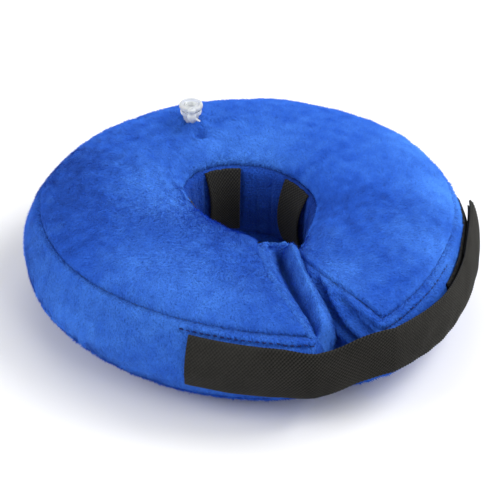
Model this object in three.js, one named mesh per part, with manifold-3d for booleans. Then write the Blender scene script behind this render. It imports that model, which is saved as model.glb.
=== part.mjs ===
// An inflatable recovery collar for a cat or a small dog: a C-shaped air bladder in a plush cover of two
// panels and two upright strips, closed across its slit by a webbing strap.
// Millimetres, +Z up. The collar rests on its underside at z = 0 and its slit faces -Y.
import * as THREE from "three";
import { mergeVertices } from "three/addons/utils/BufferGeometryUtils.js";
import Module from "manifold-3d";

const wasm = await Module();
wasm.setup();

// Cover sizes
const rimRadius = 100; // the outer seam, from the collar's middle
const neckRadius = 38; // the neck seam, from the collar's middle
const topSeam = 50; // height of the upper seams
const bottomSeam = 10; // height of the lower seams
const crownRise = 10; // swell of the top panel above its seams
const restPress = 3.5; // how much of the underside's swell the floor presses flat
const neckLean = 4.5; // run of the panels' steep slope at the neck
const rimLean = 19; // run of the panels' gentle slope at the rim
const bandBulge = 7.6; // swell of the outer band
const neckBulge = 2.5; // swell of the neck wall
const coverWall = 1.3;
const seamGap = 0.3; // between sheets that meet at a seam
const seatGap = 0.4; // between a piece and the sheet that it lies on

// Slit sizes. The right edge opens away from the left one, and both bend back from a radius.
const slitAzimuth = 258.9; // of the left edge at the rim, in degrees from +X
const slitBend = [3, 12, 1.5, 0]; // control values of the bend from neck to rim, in degrees
const bendStart = 0.6; // where the bend begins, on the way from the far side, 0, to the slit, 1
const slitNeckGap = 14.5;
const slitRimGap = 38;
const cornerLean = 6; // how far the left end's outer corner leans into the slit
const leanStart = 0.93; // on the way round, where that lean begins

// Bladder and valve sizes
const bladderWall = 0.8;
const bladderClearance = 1.05; // between the bladder and the cover
const endRounding = 9; // length over which the bladder's ends round off
const valveAzimuth = 93;
const valveAcross = 0.555; // place of the valve between the neck seam, 0, and the outer seam, 1
const stemRadius = 4;
const stemBore = 2.4;
const stemRise = 10.5; // from the cover up to the underside of the head
const headRadius = 6;
const headThickness = 2.6;
const flangeRadius = 8;
const flangeThickness = 1.2;
const plugRadius = 2.4;
const plugLength = 7;
const plugHang = 0.35; // share of the plug that hangs below the underside of the head
const tetherThickness = 1;
const tetherWidth = 2;
const plugAzimuth = -110; // the side of the head that the plug hangs on

// Webbing sizes
const strapWidth = 25;
const strapThickness = 1.8;
const strapStart = -129; // azimuth of the sewn end
const strapEnd = -16; // azimuth of the free end
const tapeThickness = 1;
const tapeMargin = 1.5; // from a tape's edge to the strap's
const tapeWidth = strapWidth - 2 * tapeMargin;
const hookLength = 44;
const loopTapeLength = 70;
const loopWidth = 20;
const loopThickness = 1.4;
const loopStandoff = 3; // slack of a neck loop at its middle
const loopFoot = 0.1; // share of the neck wall's height where a loop starts
const loopHead = 0.97; // and where it ends

// Mesh steps
const ringSteps = 40;
const acrossSteps = 10;
const wallSteps = 6;
const strapStep = 3.2; // degrees
const roundSides = 16;
const strapRows = 5;
const loopColumns = 4;
const loopRows = 8;
const armSteps = 8;

// The seams' plan and the crown, on the way round from the right end wall, 0, to the left one, 1.
// rim and neck are shares of rimRadius and neckRadius, crown of crownRise, and droop of the band's height.
const stations = [
  { way: 0.0, rim: 1.045, neck: 1.22, crown: 0.72, droop: 0.09 },
  { way: 0.05, rim: 1.01, neck: 0.98, crown: 0.95, droop: 0.03 },
  { way: 0.1, rim: 0.983, neck: 0.86, crown: 1.02, droop: 0 },
  { way: 0.2, rim: 0.995, neck: 0.82, crown: 1.08, droop: 0 },
  { way: 0.3, rim: 1.015, neck: 0.835, crown: 1.14, droop: 0 },
  { way: 0.41, rim: 1.01, neck: 0.93, crown: 1.15, droop: 0 },
  { way: 0.54, rim: 1.0, neck: 1.03, crown: 1.12, droop: 0 },
  { way: 0.63, rim: 1.015, neck: 0.93, crown: 1.14, droop: 0 },
  { way: 0.69, rim: 1.027, neck: 0.775, crown: 1.1, droop: 0 },
  { way: 0.77, rim: 1.0, neck: 0.66, crown: 1.05, droop: 0 },
  { way: 0.86, rim: 0.972, neck: 0.655, crown: 1.04, droop: 0 },
  { way: 0.93, rim: 0.982, neck: 0.72, crown: 1, droop: 0.01 },
  { way: 0.97, rim: 1.01, neck: 0.78, crown: 0.9, droop: 0.04 },
  { way: 1.0, rim: 1.035, neck: 0.87, crown: 0.75, droop: 0.09 },
];

// Dents of the top panel: place, radius as a share of rimRadius, depth as a share of crownRise.
const dents = [
  { way: 0.521, across: 0.555, radius: 0.15, depth: 0.32 }, // pucker round the valve
  { way: 0.955, across: 0.62, radius: 0.13, depth: 0.16 }, // crease beside the left end
  { way: 0.6, across: 0.42, radius: 0.14, depth: 0.12 }, // slack beside the valve
];

// Swell of the two end walls, as shares of half the gap at the neck and at the rim. The left end's roll
// fills most of the gap, and the right end lies back from it.
const endPuffs = {
  right: { neck: 0.6, rim: 0.1 },
  left: { neck: 0.8, rim: 0.45 },
};

// Folds of the two end walls. atTop and atFoot place the fold's line between the neck, 0, and the rim, 1,
// at the upper and lower seam; width is a share of the wall's length and rise of half the gap.
const pleats = [
  { end: "right", atTop: 0.62, atFoot: 1.45, width: 0.13, rise: 0.4 },
  { end: "right", atTop: 0.5, atFoot: 0.84, width: 0.1, rise: -0.34 },
  { end: "right", atTop: 0.22, atFoot: 0.5, width: 0.16, rise: 0.2 },
  { end: "left", atTop: 0.74, atFoot: 1.35, width: 0.3, rise: 0.75 },
  { end: "left", atTop: 0.3, atFoot: 0.8, width: 0.12, rise: -0.25 },
  { end: "left", atTop: 0.1, atFoot: 0.5, width: 0.16, rise: 0.2 },
];

// The strap's run: height of its lower edge as a share of the band's height above the lower seam, how far
// it stands off the band, as a share of its width, how closely it follows the band's swell, and how much
// of the closing tapes' thickness lies under it.
const strapRun = [
  { azimuth: -129, height: 0.255, standoff: 0, hug: 1, lift: 0 },
  { azimuth: -106, height: 0.21, standoff: 0, hug: 1, lift: 0 },
  { azimuth: -99, height: 0.18, standoff: 0.02, hug: 0.6, lift: 0 },
  { azimuth: -93, height: 0.2, standoff: 0.02, hug: 0.3, lift: 0 },
  { azimuth: -86, height: 0.28, standoff: 0.01, hug: 0.15, lift: 0 },
  { azimuth: -78, height: 0.29, standoff: 0, hug: 0.1, lift: 0.1 },
  { azimuth: -60, height: 0.22, standoff: 0, hug: 0.45, lift: 0.6 },
  { azimuth: -50, height: 0.205, standoff: 0, hug: 0.75, lift: 0.9 },
  { azimuth: -42, height: 0.23, standoff: 0, hug: 0.85, lift: 1 },
  { azimuth: -34, height: 0.275, standoff: 0, hug: 0.9, lift: 1 },
  { azimuth: -24, height: 0.28, standoff: 0.02, hug: 0.88, lift: 1 },
  { azimuth: -16, height: 0.275, standoff: 0.08, hug: 0.85, lift: 1 },
];

// The bladder's rounded ends: how deep each ring lies, as a share of endRounding, and its scale.
const endRings = [
  { depth: 0.25, scale: 0.72 },
  { depth: 0.6, scale: 0.9 },
  { depth: 1.4, scale: 0.98 },
];

// The plug's outline from its foot up, as shares of its radius and its length.
const plugOutline = [
  { radius: 0, height: 0 },
  { radius: 0.75, height: 0 },
  { radius: 1, height: 0.17 },
  { radius: 1, height: 0.6 },
  { radius: 0.8, height: 0.9 },
  { radius: 0, height: 1 },
];

const neckLoops = [
  { name: "neck_loop_back", azimuth: 89 },
  { name: "neck_loop_right", azimuth: 15 },
  { name: "neck_loop_left", azimuth: 163 },
];

const colours = {
  plush: { color: 0x1740b0, roughness: 0.95, metalness: 0 },
  webbing: { color: 0x17171a, roughness: 0.85, metalness: 0 },
  tape: { color: 0x101012, roughness: 0.95, metalness: 0 },
  clear: { color: 0xdfe6ea, roughness: 0.15, metalness: 0, transparent: true, opacity: 0.6 },
};

// Small helpers
const lerp = THREE.MathUtils.lerp;
const clamp = THREE.MathUtils.clamp;
const smoothstep = THREE.MathUtils.smoothstep;
const radians = THREE.MathUtils.degToRad;
const arch = (share) => 4 * share * (1 - share);
const bell = (distance) => Math.exp(-distance * distance);

// The value of a column at a place in a table, on a smooth curve through the rows.
function tableValue(table, key, column, place) {
  const last = table.length - 2;
  let row = 0;
  while (row < last && table[row + 1][key] < place) row += 1;
  const a = table[row];
  const b = table[row + 1];
  const before = table[Math.max(row - 1, 0)];
  const after = table[Math.min(row + 2, table.length - 1)];
  const span = b[key] - a[key];
  const slopeA = (b[column] - before[column]) / (b[key] - before[key]);
  const slopeB = (after[column] - a[column]) / (after[key] - a[key]);
  const s = clamp((place - a[key]) / span, 0, 1);
  const s2 = s * s;
  const s3 = s2 * s;
  return (
    (2 * s3 - 3 * s2 + 1) * a[column] +
    (s3 - 2 * s2 + s) * span * slopeA +
    (3 * s2 - 2 * s3) * b[column] +
    (s3 - s2) * span * slopeB
  );
}
const station = (column, way) => tableValue(stations, "way", column, way);

// The slit's width at a place between neck and rim, and the angle that it takes there. The lean grows
// towards the rim, so that only the corner turns.
const LEAN_POWER = 4;
const GAP_FLARE = 1.7;
const gapWidth = (across) => lerp(slitNeckGap, slitRimGap, across ** GAP_FLARE);
const gapAngle = (across) =>
  THREE.MathUtils.radToDeg(gapWidth(across) / lerp(neckRadius, rimRadius, across));
const leanAngle = (way, across) =>
  THREE.MathUtils.radToDeg(cornerLean / rimRadius) *
  smoothstep(way, leanStart, 1) *
  across ** LEAN_POWER;
const bezier = (a, b, c, d, s) =>
  (1 - s) ** 3 * a + 3 * (1 - s) ** 2 * s * b + 3 * (1 - s) * s * s * c + s ** 3 * d;
const bendAngle = (way, across) =>
  bezier(...slitBend, across) * smoothstep(2 * Math.abs(way - 0.5), bendStart, 1);
const azimuthOf = (way, across) =>
  slitAzimuth -
  (1 - way) * (360 - gapAngle(across)) +
  leanAngle(way, across) -
  bendAngle(way, across);
const leftAzimuth = (across) => azimuthOf(1, across) - 360;
const rightAzimuth = (across) => azimuthOf(0, across);

// The way round at an azimuth between the right edge and the left one, found in a few even steps.
function wayOf(azimuth, across) {
  const whole = 360 - gapAngle(across);
  const onward = THREE.MathUtils.euclideanModulo(azimuth - rightAzimuth(across), 360);
  let way = onward / whole;
  for (let step = 0; step < 12; step += 1) {
    way += (rightAzimuth(across) + onward - azimuthOf(way, across)) / whole;
  }
  return clamp(way, 0, 1);
}

function planPoint(way, across, height) {
  const neck = neckRadius * station("neck", way);
  const rim = rimRadius * station("rim", way);
  const radius = bezier(neck, neck + neckLean, rim - rimLean, rim, across);
  const turn = radians(azimuthOf(way, across));
  return new THREE.Vector3(radius * Math.cos(turn), radius * Math.sin(turn), height);
}

function dentDepth(way, across) {
  const here = planPoint(way, across, 0);
  let depth = 0;
  for (const dent of dents) {
    const away = here.distanceTo(planPoint(dent.way, dent.across, 0));
    depth += dent.depth * crownRise * bell(away / (dent.radius * rimRadius));
  }
  return depth * arch(across);
}

// A control height of 4/3 of the swell makes the curve's crest as high as the swell.
const CREST = 4 / 3;
const seamDroop = (way) => station("droop", way) * (topSeam - bottomSeam);

function topPoint(way, across) {
  const rimSeam = topSeam - seamDroop(way);
  const control = topSeam + CREST * crownRise * station("crown", way);
  const height = bezier(topSeam, control, control, rimSeam, across) - dentDepth(way, across);
  return planPoint(way, across, height);
}

function bottomPoint(way, across) {
  const rimSeam = bottomSeam + seamDroop(way);
  const control = bottomSeam - CREST * (bottomSeam + restPress);
  const height = bezier(bottomSeam, control, control, rimSeam, across);
  return planPoint(way, across, Math.max(height, 0));
}

// The band swells most below its middle, as an upright cushion does.
const BAND_SAG = 0.25;
const bandSwell = (share) => bandBulge * arch(share) * (1 + BAND_SAG * (1 - 2 * share));
const NUDGE = 0.002;

function planNormal(way, across) {
  const ahead = planPoint(Math.min(way + NUDGE, 1), across, 0);
  const behind = planPoint(Math.max(way - NUDGE, 0), across, 0);
  const along = ahead.sub(behind).normalize();
  return new THREE.Vector3(along.y, -along.x, 0);
}

// Points on the outer band and on the neck wall, at a share of their height.
function bandPoint(way, share) {
  const point = bottomPoint(way, 1).lerp(topPoint(way, 1), share);
  return point.addScaledVector(planNormal(way, 1), bandSwell(share));
}
function neckPoint(way, share) {
  const point = bottomPoint(way, 0).lerp(topPoint(way, 0), share);
  return point.addScaledVector(planNormal(way, 0), -neckBulge * arch(share));
}

// How far an end wall swells into the gap. A fold keeps its height until close to the wall's two ends.
const FOLD_FADE = 0.4;

function pleatRise(end, across, share) {
  const puff = endPuffs[end];
  const fade = Math.sqrt(arch(share)) * arch(across) ** FOLD_FADE;
  let rise = lerp(puff.neck, puff.rim, across) * Math.sqrt(arch(share) * arch(across));
  for (const pleat of pleats.filter((row) => row.end === end)) {
    const line = lerp(pleat.atFoot, pleat.atTop, share);
    rise += pleat.rise * bell((across - line) / pleat.width) * fade;
  }
  return (rise * gapWidth(across)) / 2;
}

// The cover's outer surface: two panels and the strips between their edges, on shared seam points.
function grid(columns, rows, pointAt) {
  return Array.from({ length: columns + 1 }, (_, i) =>
    Array.from({ length: rows + 1 }, (__, j) => pointAt(i / columns, j / rows)),
  );
}

// The walk round a panel's edge: out along the rim, in over the left end, back along the neck, and out.
function edgeWalk() {
  const walk = [];
  for (let i = 0; i < ringSteps; i += 1) walk.push({ i, j: acrossSteps, side: "rim" });
  for (let j = acrossSteps; j > 0; j -= 1) walk.push({ i: ringSteps, j, side: "left" });
  for (let i = ringSteps; i > 0; i -= 1) walk.push({ i, j: 0, side: "neck" });
  for (let j = 0; j < acrossSteps; j += 1) walk.push({ i: 0, j, side: "right" });
  return walk;
}

function swellAt({ i, j, side }, share) {
  const across = j / acrossSteps;
  const atRim = j === acrossSteps;
  const atNeck = j === 0;
  if (side === "rim" || atRim) return bandSwell(share);
  if (side === "neck" || atNeck) return neckBulge * arch(share);
  return pleatRise(side, across, share);
}

function coverSurface() {
  const top = grid(ringSteps, acrossSteps, topPoint);
  const bottom = grid(ringSteps, acrossSteps, bottomPoint);
  const walk = edgeWalk();
  const edge = walk.map(({ i, j }) => top[i][j]);
  const strip = walk.map((step, k) => {
    const ahead = edge[(k + 1) % edge.length];
    const behind = edge[(k + edge.length - 1) % edge.length];
    const along = ahead.clone().sub(behind).setZ(0).normalize();
    const outward = new THREE.Vector3(along.y, -along.x, 0);
    const foot = bottom[step.i][step.j];
    const head = top[step.i][step.j];
    const column = [foot];
    for (let row = 1; row < wallSteps; row += 1) {
      const share = row / wallSteps;
      const point = foot.clone().lerp(head, share);
      column.push(point.addScaledVector(outward, swellAt(step, share)));
    }
    column.push(head);
    return column;
  });
  return { top, bottom, strip };
}

// The walk's columns that stand on the neck. The neck strip is sewn to the side strip at both ends.
const neckFirst = ringSteps + acrossSteps;
const neckLast = neckFirst + ringSteps;

// Visits each quad of a grid of points, with the four corners in order.
function eachQuad(points, closed, visit) {
  const columns = closed ? points.length : points.length - 1;
  for (let i = 0; i < columns; i += 1) {
    const next = points[(i + 1) % points.length];
    for (let j = 0; j + 1 < points[i].length; j += 1) {
      visit(points[i][j], next[j], next[j + 1], points[i][j + 1]);
    }
  }
}

// For each shared point, the step inwards that lies one unit below every face round it.
function inwardSteps(sheets) {
  const faces = new Map();
  for (const { points, closed, sign } of sheets) {
    eachQuad(points, closed, (a, b, c, d) => {
      const normal = c.clone().sub(a).cross(d.clone().sub(b)).normalize().multiplyScalar(sign);
      for (const corner of [a, b, c, d]) {
        if (!faces.has(corner)) faces.set(corner, []);
        faces.get(corner).push(normal);
      }
    });
  }
  const SOFTEN = 0.04; // keeps the step short where the faces nearly agree
  const steps = new Map();
  for (const [corner, normals] of faces) {
    let [xx, yy, zz, xy, xz, yz] = [SOFTEN, SOFTEN, SOFTEN, 0, 0, 0];
    const sum = new THREE.Vector3();
    for (const n of normals) {
      xx += n.x * n.x;
      yy += n.y * n.y;
      zz += n.z * n.z;
      xy += n.x * n.y;
      xz += n.x * n.z;
      yz += n.y * n.z;
      sum.add(n);
    }
    const inverse = new THREE.Matrix3().set(xx, xy, xz, xy, yy, yz, xz, yz, zz).invert();
    steps.set(corner, sum.multiplyScalar(-1).applyMatrix3(inverse));
  }
  return steps;
}

// Draws a sheet's edges back from its seams, along the sheet, after lift has placed its points.
function drawnBack(points, lift) {
  const lastColumn = points.length - 1;
  return points.map((column, i) =>
    column.map((point, j) => {
      const moved = lift(point);
      const inner = [];
      if (j === 0) inner.push(column[1]);
      if (j === column.length - 1) inner.push(column[j - 1]);
      if (i === 0) inner.push(points[1][j]);
      if (i === lastColumn) inner.push(points[lastColumn - 1][j]);
      for (const neighbour of inner) {
        moved.addScaledVector(neighbour.clone().sub(point).normalize(), seamGap / 2);
      }
      return moved;
    }),
  );
}

// A closed geometry from triangles of points, turned to face outwards.
function closedGeometry(triangles) {
  let volume = 0;
  for (const [a, b, c] of triangles) volume += a.dot(b.clone().cross(c));
  const positions = [];
  for (const [a, b, c] of triangles) {
    const corners = volume > 0 ? [a, b, c] : [a, c, b];
    for (const corner of corners) positions.push(corner.x, corner.y, corner.z);
  }
  const geometry = new THREE.BufferGeometry();
  geometry.setAttribute("position", new THREE.Float32BufferAttribute(positions, 3));
  return geometry;
}

// The wall between two grids of the same size: both faces and the edges between them.
function wallGeometry(outer, inner) {
  const triangles = [];
  const quad = (a, b, c, d) => triangles.push([a, b, c], [a, c, d]);
  eachQuad(outer, false, (a, b, c, d) => quad(a, b, c, d));
  eachQuad(inner, false, (a, b, c, d) => quad(d, c, b, a));
  const last = outer.length - 1;
  const rows = outer[0].length - 1;
  for (let i = 0; i < last; i += 1) {
    quad(outer[i + 1][0], outer[i][0], inner[i][0], inner[i + 1][0]);
    quad(outer[i][rows], outer[i + 1][rows], inner[i + 1][rows], inner[i][rows]);
  }
  for (let j = 0; j < rows; j += 1) {
    quad(outer[0][j], outer[0][j + 1], inner[0][j + 1], inner[0][j]);
    quad(outer[last][j + 1], outer[last][j], inner[last][j], inner[last][j + 1]);
  }
  return closedGeometry(triangles);
}

// Booleans
function toSolid(geometry) {
  const bare = new THREE.BufferGeometry();
  bare.setAttribute("position", geometry.getAttribute("position"));
  if (geometry.index) bare.setIndex(geometry.index);
  const merged = mergeVertices(bare, 1e-4);
  const triVerts = [];
  for (let i = 0; i < merged.index.count; i += 3) {
    const [a, b, c] = [0, 1, 2].map((corner) => merged.index.getX(i + corner));
    if (a !== b && b !== c && c !== a) triVerts.push(a, b, c);
  }
  return new wasm.Manifold(
    new wasm.Mesh({
      numProp: 3,
      vertProperties: new Float32Array(merged.attributes.position.array),
      triVerts: new Uint32Array(triVerts),
    }),
  );
}

function toGeometry(solid) {
  const { vertProperties, triVerts, numProp } = solid.getMesh();
  const positions = [];
  for (const vertex of triVerts) {
    for (let axis = 0; axis < 3; axis += 1) positions.push(vertProperties[vertex * numProp + axis]);
  }
  const geometry = new THREE.BufferGeometry();
  geometry.setAttribute("position", new THREE.Float32BufferAttribute(positions, 3));
  return geometry;
}

function piece(name, geometry, look) {
  geometry.computeVertexNormals();
  const mesh = new THREE.Mesh(geometry, new THREE.MeshStandardMaterial(look));
  mesh.name = name;
  return mesh;
}

// A solid turned about +Z from a profile of [radius, height] points, which ends on the axis or closes.
function turned(profile) {
  const onAxis = profile[0][0] === 0;
  const points = onAxis ? profile : [...profile, profile[0]];
  const outline = points.map(([radius, height]) => new THREE.Vector2(radius, height));
  const geometry = new THREE.LatheGeometry(outline, roundSides);
  geometry.rotateX(Math.PI / 2);
  return geometry;
}

// Valve place: its axis, the cover's height there and the flange's height in the bladder.
const valveWay = wayOf(valveAzimuth, valveAcross);
const valveSeat = topPoint(valveWay, valveAcross);
const coverDepth = coverWall + bladderClearance + bladderWall;

function valveHole(radius) {
  const drill = new THREE.CylinderGeometry(radius, radius, 6 * coverDepth, roundSides);
  drill.rotateX(Math.PI / 2);
  drill.translate(valveSeat.x, valveSeat.y, valveSeat.z - coverDepth / 2);
  return toSolid(drill);
}

// Cover
function makeCover() {
  const { top, bottom, strip } = coverSurface();
  const steps = inwardSteps([
    { points: top, closed: false, sign: -1 },
    { points: bottom, closed: false, sign: 1 },
    { points: strip, closed: true, sign: 1 },
  ]);
  const sheet = (points) => {
    const onSurface = (point) => point.clone();
    const below = (point) => point.clone().addScaledVector(steps.get(point), coverWall);
    return wallGeometry(drawnBack(points, onSurface), drawnBack(points, below));
  };
  const topSheet = toSolid(sheet(top)).subtract(valveHole(stemRadius + seatGap));
  const sides = [...strip.slice(neckLast), ...strip.slice(0, neckFirst + 1)];
  return [
    piece("top_panel", toGeometry(topSheet), colours.plush),
    piece("bottom_panel", sheet(bottom), colours.plush),
    piece("side_strip", sheet(sides), colours.plush),
    piece("neck_strip", sheet(strip.slice(neckFirst, neckLast + 1)), colours.plush),
  ];
}

// Bladder. Its section passes these places of the cover's section, an inset below each.
const bladderSection = [
  ...[0.1, 0.3, 0.5, 0.7, 0.9].map((at) => ({ sheet: topPoint, at })),
  ...[0.83, 0.5, 0.17].map((at) => ({ sheet: bandPoint, at })),
  ...[0.9, 0.7, 0.3, 0.1].map((at) => ({ sheet: bottomPoint, at })),
  ...[0.17, 0.5, 0.83].map((at) => ({ sheet: neckPoint, at })),
];

function bladderRing(way, inset, scale) {
  const middle = topPoint(way, 0.5).lerp(bottomPoint(way, 0.5), 0.5);
  return bladderSection.map(({ sheet, at }) => {
    const point = sheet(way, at);
    const across = sheet(way, at + NUDGE).sub(sheet(way, at - NUDGE));
    const around = sheet(Math.min(way + NUDGE, 1), at).sub(sheet(Math.max(way - NUDGE, 0), at));
    const normal = across.cross(around).normalize();
    if (normal.dot(middle.clone().sub(point)) < 0) normal.negate();
    return point.addScaledVector(normal, inset).sub(middle).multiplyScalar(scale).add(middle);
  });
}

// A closed tube whose ends are drawn in and rounded.
function bladderSkin(inset) {
  const middleRadius = (rimRadius + neckRadius) / 2;
  const wayPerLength = 1 / (2 * Math.PI * middleRadius);
  const shrink = (scale) => scale * (1 - (inset - coverWall - bladderClearance) / middleRadius);
  const rings = endRings.map(({ depth, scale }) => ({
    way: (inset + endRounding * depth) * wayPerLength,
    scale: shrink(scale),
  }));
  const mirrored = rings.map(({ way, scale }) => ({ way: 1 - way, scale })).reverse();
  const inner = [];
  for (let i = 2; i <= ringSteps - 2; i += 2) inner.push({ way: i / ringSteps, scale: 1 });
  const all = [...rings, ...inner, ...mirrored];
  const loops = all.map(({ way, scale }) => bladderRing(way, inset, scale));
  const triangles = [];
  for (let i = 0; i + 1 < loops.length; i += 1) {
    for (let j = 0; j < bladderSection.length; j += 1) {
      const k = (j + 1) % bladderSection.length;
      const [a, b, c, d] = [loops[i][j], loops[i + 1][j], loops[i + 1][k], loops[i][k]];
      triangles.push([a, b, c], [a, c, d]);
    }
  }
  const cap = (loop, flip) => {
    const middle = new THREE.Vector3();
    for (const point of loop) middle.addScaledVector(point, 1 / loop.length);
    loop.forEach((point, j) => {
      const next = loop[(j + 1) % loop.length];
      triangles.push(flip ? [middle, next, point] : [middle, point, next]);
    });
  };
  cap(loops[0], false);
  cap(loops.at(-1), true);
  return closedGeometry(triangles);
}

function makeBladder() {
  const outside = coverWall + bladderClearance;
  const tube = toSolid(bladderSkin(outside)).subtract(toSolid(bladderSkin(outside + bladderWall)));
  const opened = tube.subtract(valveHole(stemRadius + seatGap));
  return piece("bladder", toGeometry(opened), colours.clear);
}

// Valve. The bladder's wall curves down by a share of the flange's radius at the flange's edge.
const WALL_CURVE = 0.16;
const HEAD_EDGE = 0.3; // share of the head's thickness that its edges slope over
const ARM_SAG = 2.2; // how far the tether's arm hangs below the ring, in widths of the tether

function makeValve() {
  const flangeTop = -(coverDepth + flangeRadius * WALL_CURVE + seamGap);
  const neckTop = stemRise;
  const headTop = stemRise + headThickness;
  const rim = headThickness * HEAD_EDGE;
  const stem = turned([
    [stemBore, flangeTop - flangeThickness],
    [flangeRadius, flangeTop - flangeThickness],
    [flangeRadius, flangeTop],
    [stemRadius, flangeTop],
    [stemRadius, neckTop],
    [headRadius - rim, neckTop],
    [headRadius, neckTop + rim],
    [headRadius, headTop - rim],
    [headRadius - rim, headTop],
    [headRadius - 2 * rim, headTop - rim / 2],
    [stemBore + rim, headTop - rim / 2],
    [stemBore, headTop - rim],
  ]);
  stem.translate(valveSeat.x, valveSeat.y, valveSeat.z);

  // The tether is a ring under the head with a bent arm that carries the plug beside the head.
  const ringOuter = stemRadius + seatGap + tetherThickness;
  const ringTop = neckTop - seamGap;
  const ring = turned([
    [stemRadius + seatGap, ringTop - tetherWidth],
    [ringOuter, ringTop - tetherWidth],
    [ringOuter, ringTop],
    [stemRadius + seatGap, ringTop],
  ]);
  const plugOffset = headRadius + seatGap + plugRadius;
  const plugFoot = neckTop - plugLength * plugHang;
  const plug = turned(
    plugOutline.map(({ radius, height }) => [plugRadius * radius, plugFoot + plugLength * height]),
  );
  plug.translate(plugOffset, 0, 0);
  const reach = ringOuter - tetherThickness / 2;
  const armMiddle = (reach + plugOffset) / 2;
  const armDrop = ringTop - tetherWidth * ARM_SAG;
  const armLine = new THREE.CatmullRomCurve3([
    new THREE.Vector3(reach, 0, ringTop - tetherWidth / 2),
    new THREE.Vector3(armMiddle, -plugRadius, armDrop),
    new THREE.Vector3(plugOffset, -plugRadius / 2, plugFoot + plugRadius / 2),
  ]);
  const section = new THREE.Shape();
  const half = tetherThickness / 2;
  section.moveTo(-half, -tetherWidth / 2);
  section.lineTo(half, -tetherWidth / 2);
  section.lineTo(half, tetherWidth / 2);
  section.lineTo(-half, tetherWidth / 2);
  section.closePath();
  const arm = new THREE.ExtrudeGeometry(section, {
    steps: armSteps,
    extrudePath: armLine,
    bevelEnabled: false,
  });
  const joined = toGeometry(toSolid(ring).add(toSolid(plug)).add(toSolid(arm)));
  joined.rotateZ(radians(plugAzimuth));
  joined.translate(valveSeat.x, valveSeat.y, valveSeat.z);
  return [piece("valve_stem", stem, colours.clear), piece("valve_plug", joined, colours.clear)];
}

// Webbing on the band. A foot is a point of the band at an azimuth and height, with its outward normal;
// across the slit it lies on the straight line between the two corners.
const bandShare = (height) => clamp((height - bottomSeam) / (topSeam - bottomSeam), 0, 1);

function bandFoot(azimuth, height) {
  const share = bandShare(height);
  const left = leftAzimuth(1);
  const right = rightAzimuth(1);
  if (azimuth > left && azimuth < right) {
    const crossed = (azimuth - left) / (right - left);
    return {
      point: bandPoint(1, share).lerp(bandPoint(0, share), crossed).setZ(height),
      normal: planNormal(1, 1).lerp(planNormal(0, 1), crossed).normalize(),
    };
  }
  const way = wayOf(azimuth, 1);
  return { point: bandPoint(way, share).setZ(height), normal: planNormal(way, 1) };
}

const run = (column, azimuth) => tableValue(strapRun, "azimuth", column, azimuth);

// A band of webbing between two azimuths. offsetAt gives its inner face's distance from the band, and one
// that follows the strap stands off with it.
function strapSheet(from, to, width, offsetAt, thickness, follow) {
  const steps = Math.max(2, Math.round((to - from) / strapStep));
  const layer = (depth) =>
    grid(steps, strapRows, (along, up) => {
      const azimuth = lerp(from, to, along);
      const middle = bottomSeam + run("height", azimuth) * (topSeam - bottomSeam) + strapWidth / 2;
      const height = middle + (up - 0.5) * width;
      const { point, normal } = bandFoot(azimuth, height);
      const proudest = bandFoot(azimuth, Math.min(height, (topSeam + bottomSeam) / 2));
      const hug = follow ? run("hug", azimuth) : 1;
      const standoff = follow ? run("standoff", azimuth) * strapWidth : 0;
      const placed = proudest.point.setZ(height).lerp(point, hug);
      return placed.addScaledVector(normal, offsetAt(azimuth) + standoff + depth);
    });
  return wallGeometry(layer(thickness), layer(0));
}

function makeStrap() {
  const perDegree = radians(rimRadius + bandBulge);
  const hookStart = strapEnd - hookLength / perDegree;
  const loopStart = strapEnd - loopTapeLength / perDegree;
  const loopEnd = strapEnd + loopWidth / 4 / perDegree;
  const strapOffset = (azimuth) => seatGap + run("lift", azimuth) * 2 * (tapeThickness + seamGap);
  const hookOffset = (azimuth) => strapOffset(azimuth) - tapeThickness - seamGap;
  return [
    piece(
      "strap",
      strapSheet(strapStart, strapEnd, strapWidth, strapOffset, strapThickness, true),
      colours.webbing,
    ),
    piece(
      "hook_tape",
      strapSheet(hookStart, strapEnd - 1, tapeWidth, hookOffset, tapeThickness, true),
      colours.tape,
    ),
    piece(
      "loop_tape",
      strapSheet(loopStart, loopEnd, tapeWidth, () => seatGap, tapeThickness, false),
      colours.tape,
    ),
  ];
}

// Loops on the neck wall, sewn at both ends and slack between
function makeNeckLoop({ name, azimuth }) {
  const way = wayOf(azimuth, 0);
  const radius = neckRadius * station("neck", way);
  const halfWay = loopWidth / 2 / radius / radians(360 - gapAngle(0));
  const layer = (depth) =>
    grid(loopColumns, loopRows, (along, up) => {
      const place = way + (2 * along - 1) * halfWay;
      const point = neckPoint(place, lerp(loopFoot, loopHead, up));
      return point.addScaledVector(planNormal(place, 0), -(seatGap + loopStandoff * arch(up) + depth));
    });
  return piece(name, wallGeometry(layer(loopThickness), layer(0)), colours.webbing);
}

const collar = new THREE.Group();
collar.add(...makeCover(), makeBladder(), ...makeValve(), ...makeStrap(), ...neckLoops.map(makeNeckLoop));

// The frame's origin is under the middle of the whole collar.
const bounds = new THREE.Box3().setFromObject(collar);
const centre = bounds.getCenter(new THREE.Vector3());
collar.position.set(-centre.x, -centre.y, -bounds.min.z);

export default collar;
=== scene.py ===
"""Looks of an inflatable recovery collar: plush with its nap, webbing, closing tapes and air valve."""

import math
from collections import namedtuple

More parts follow.
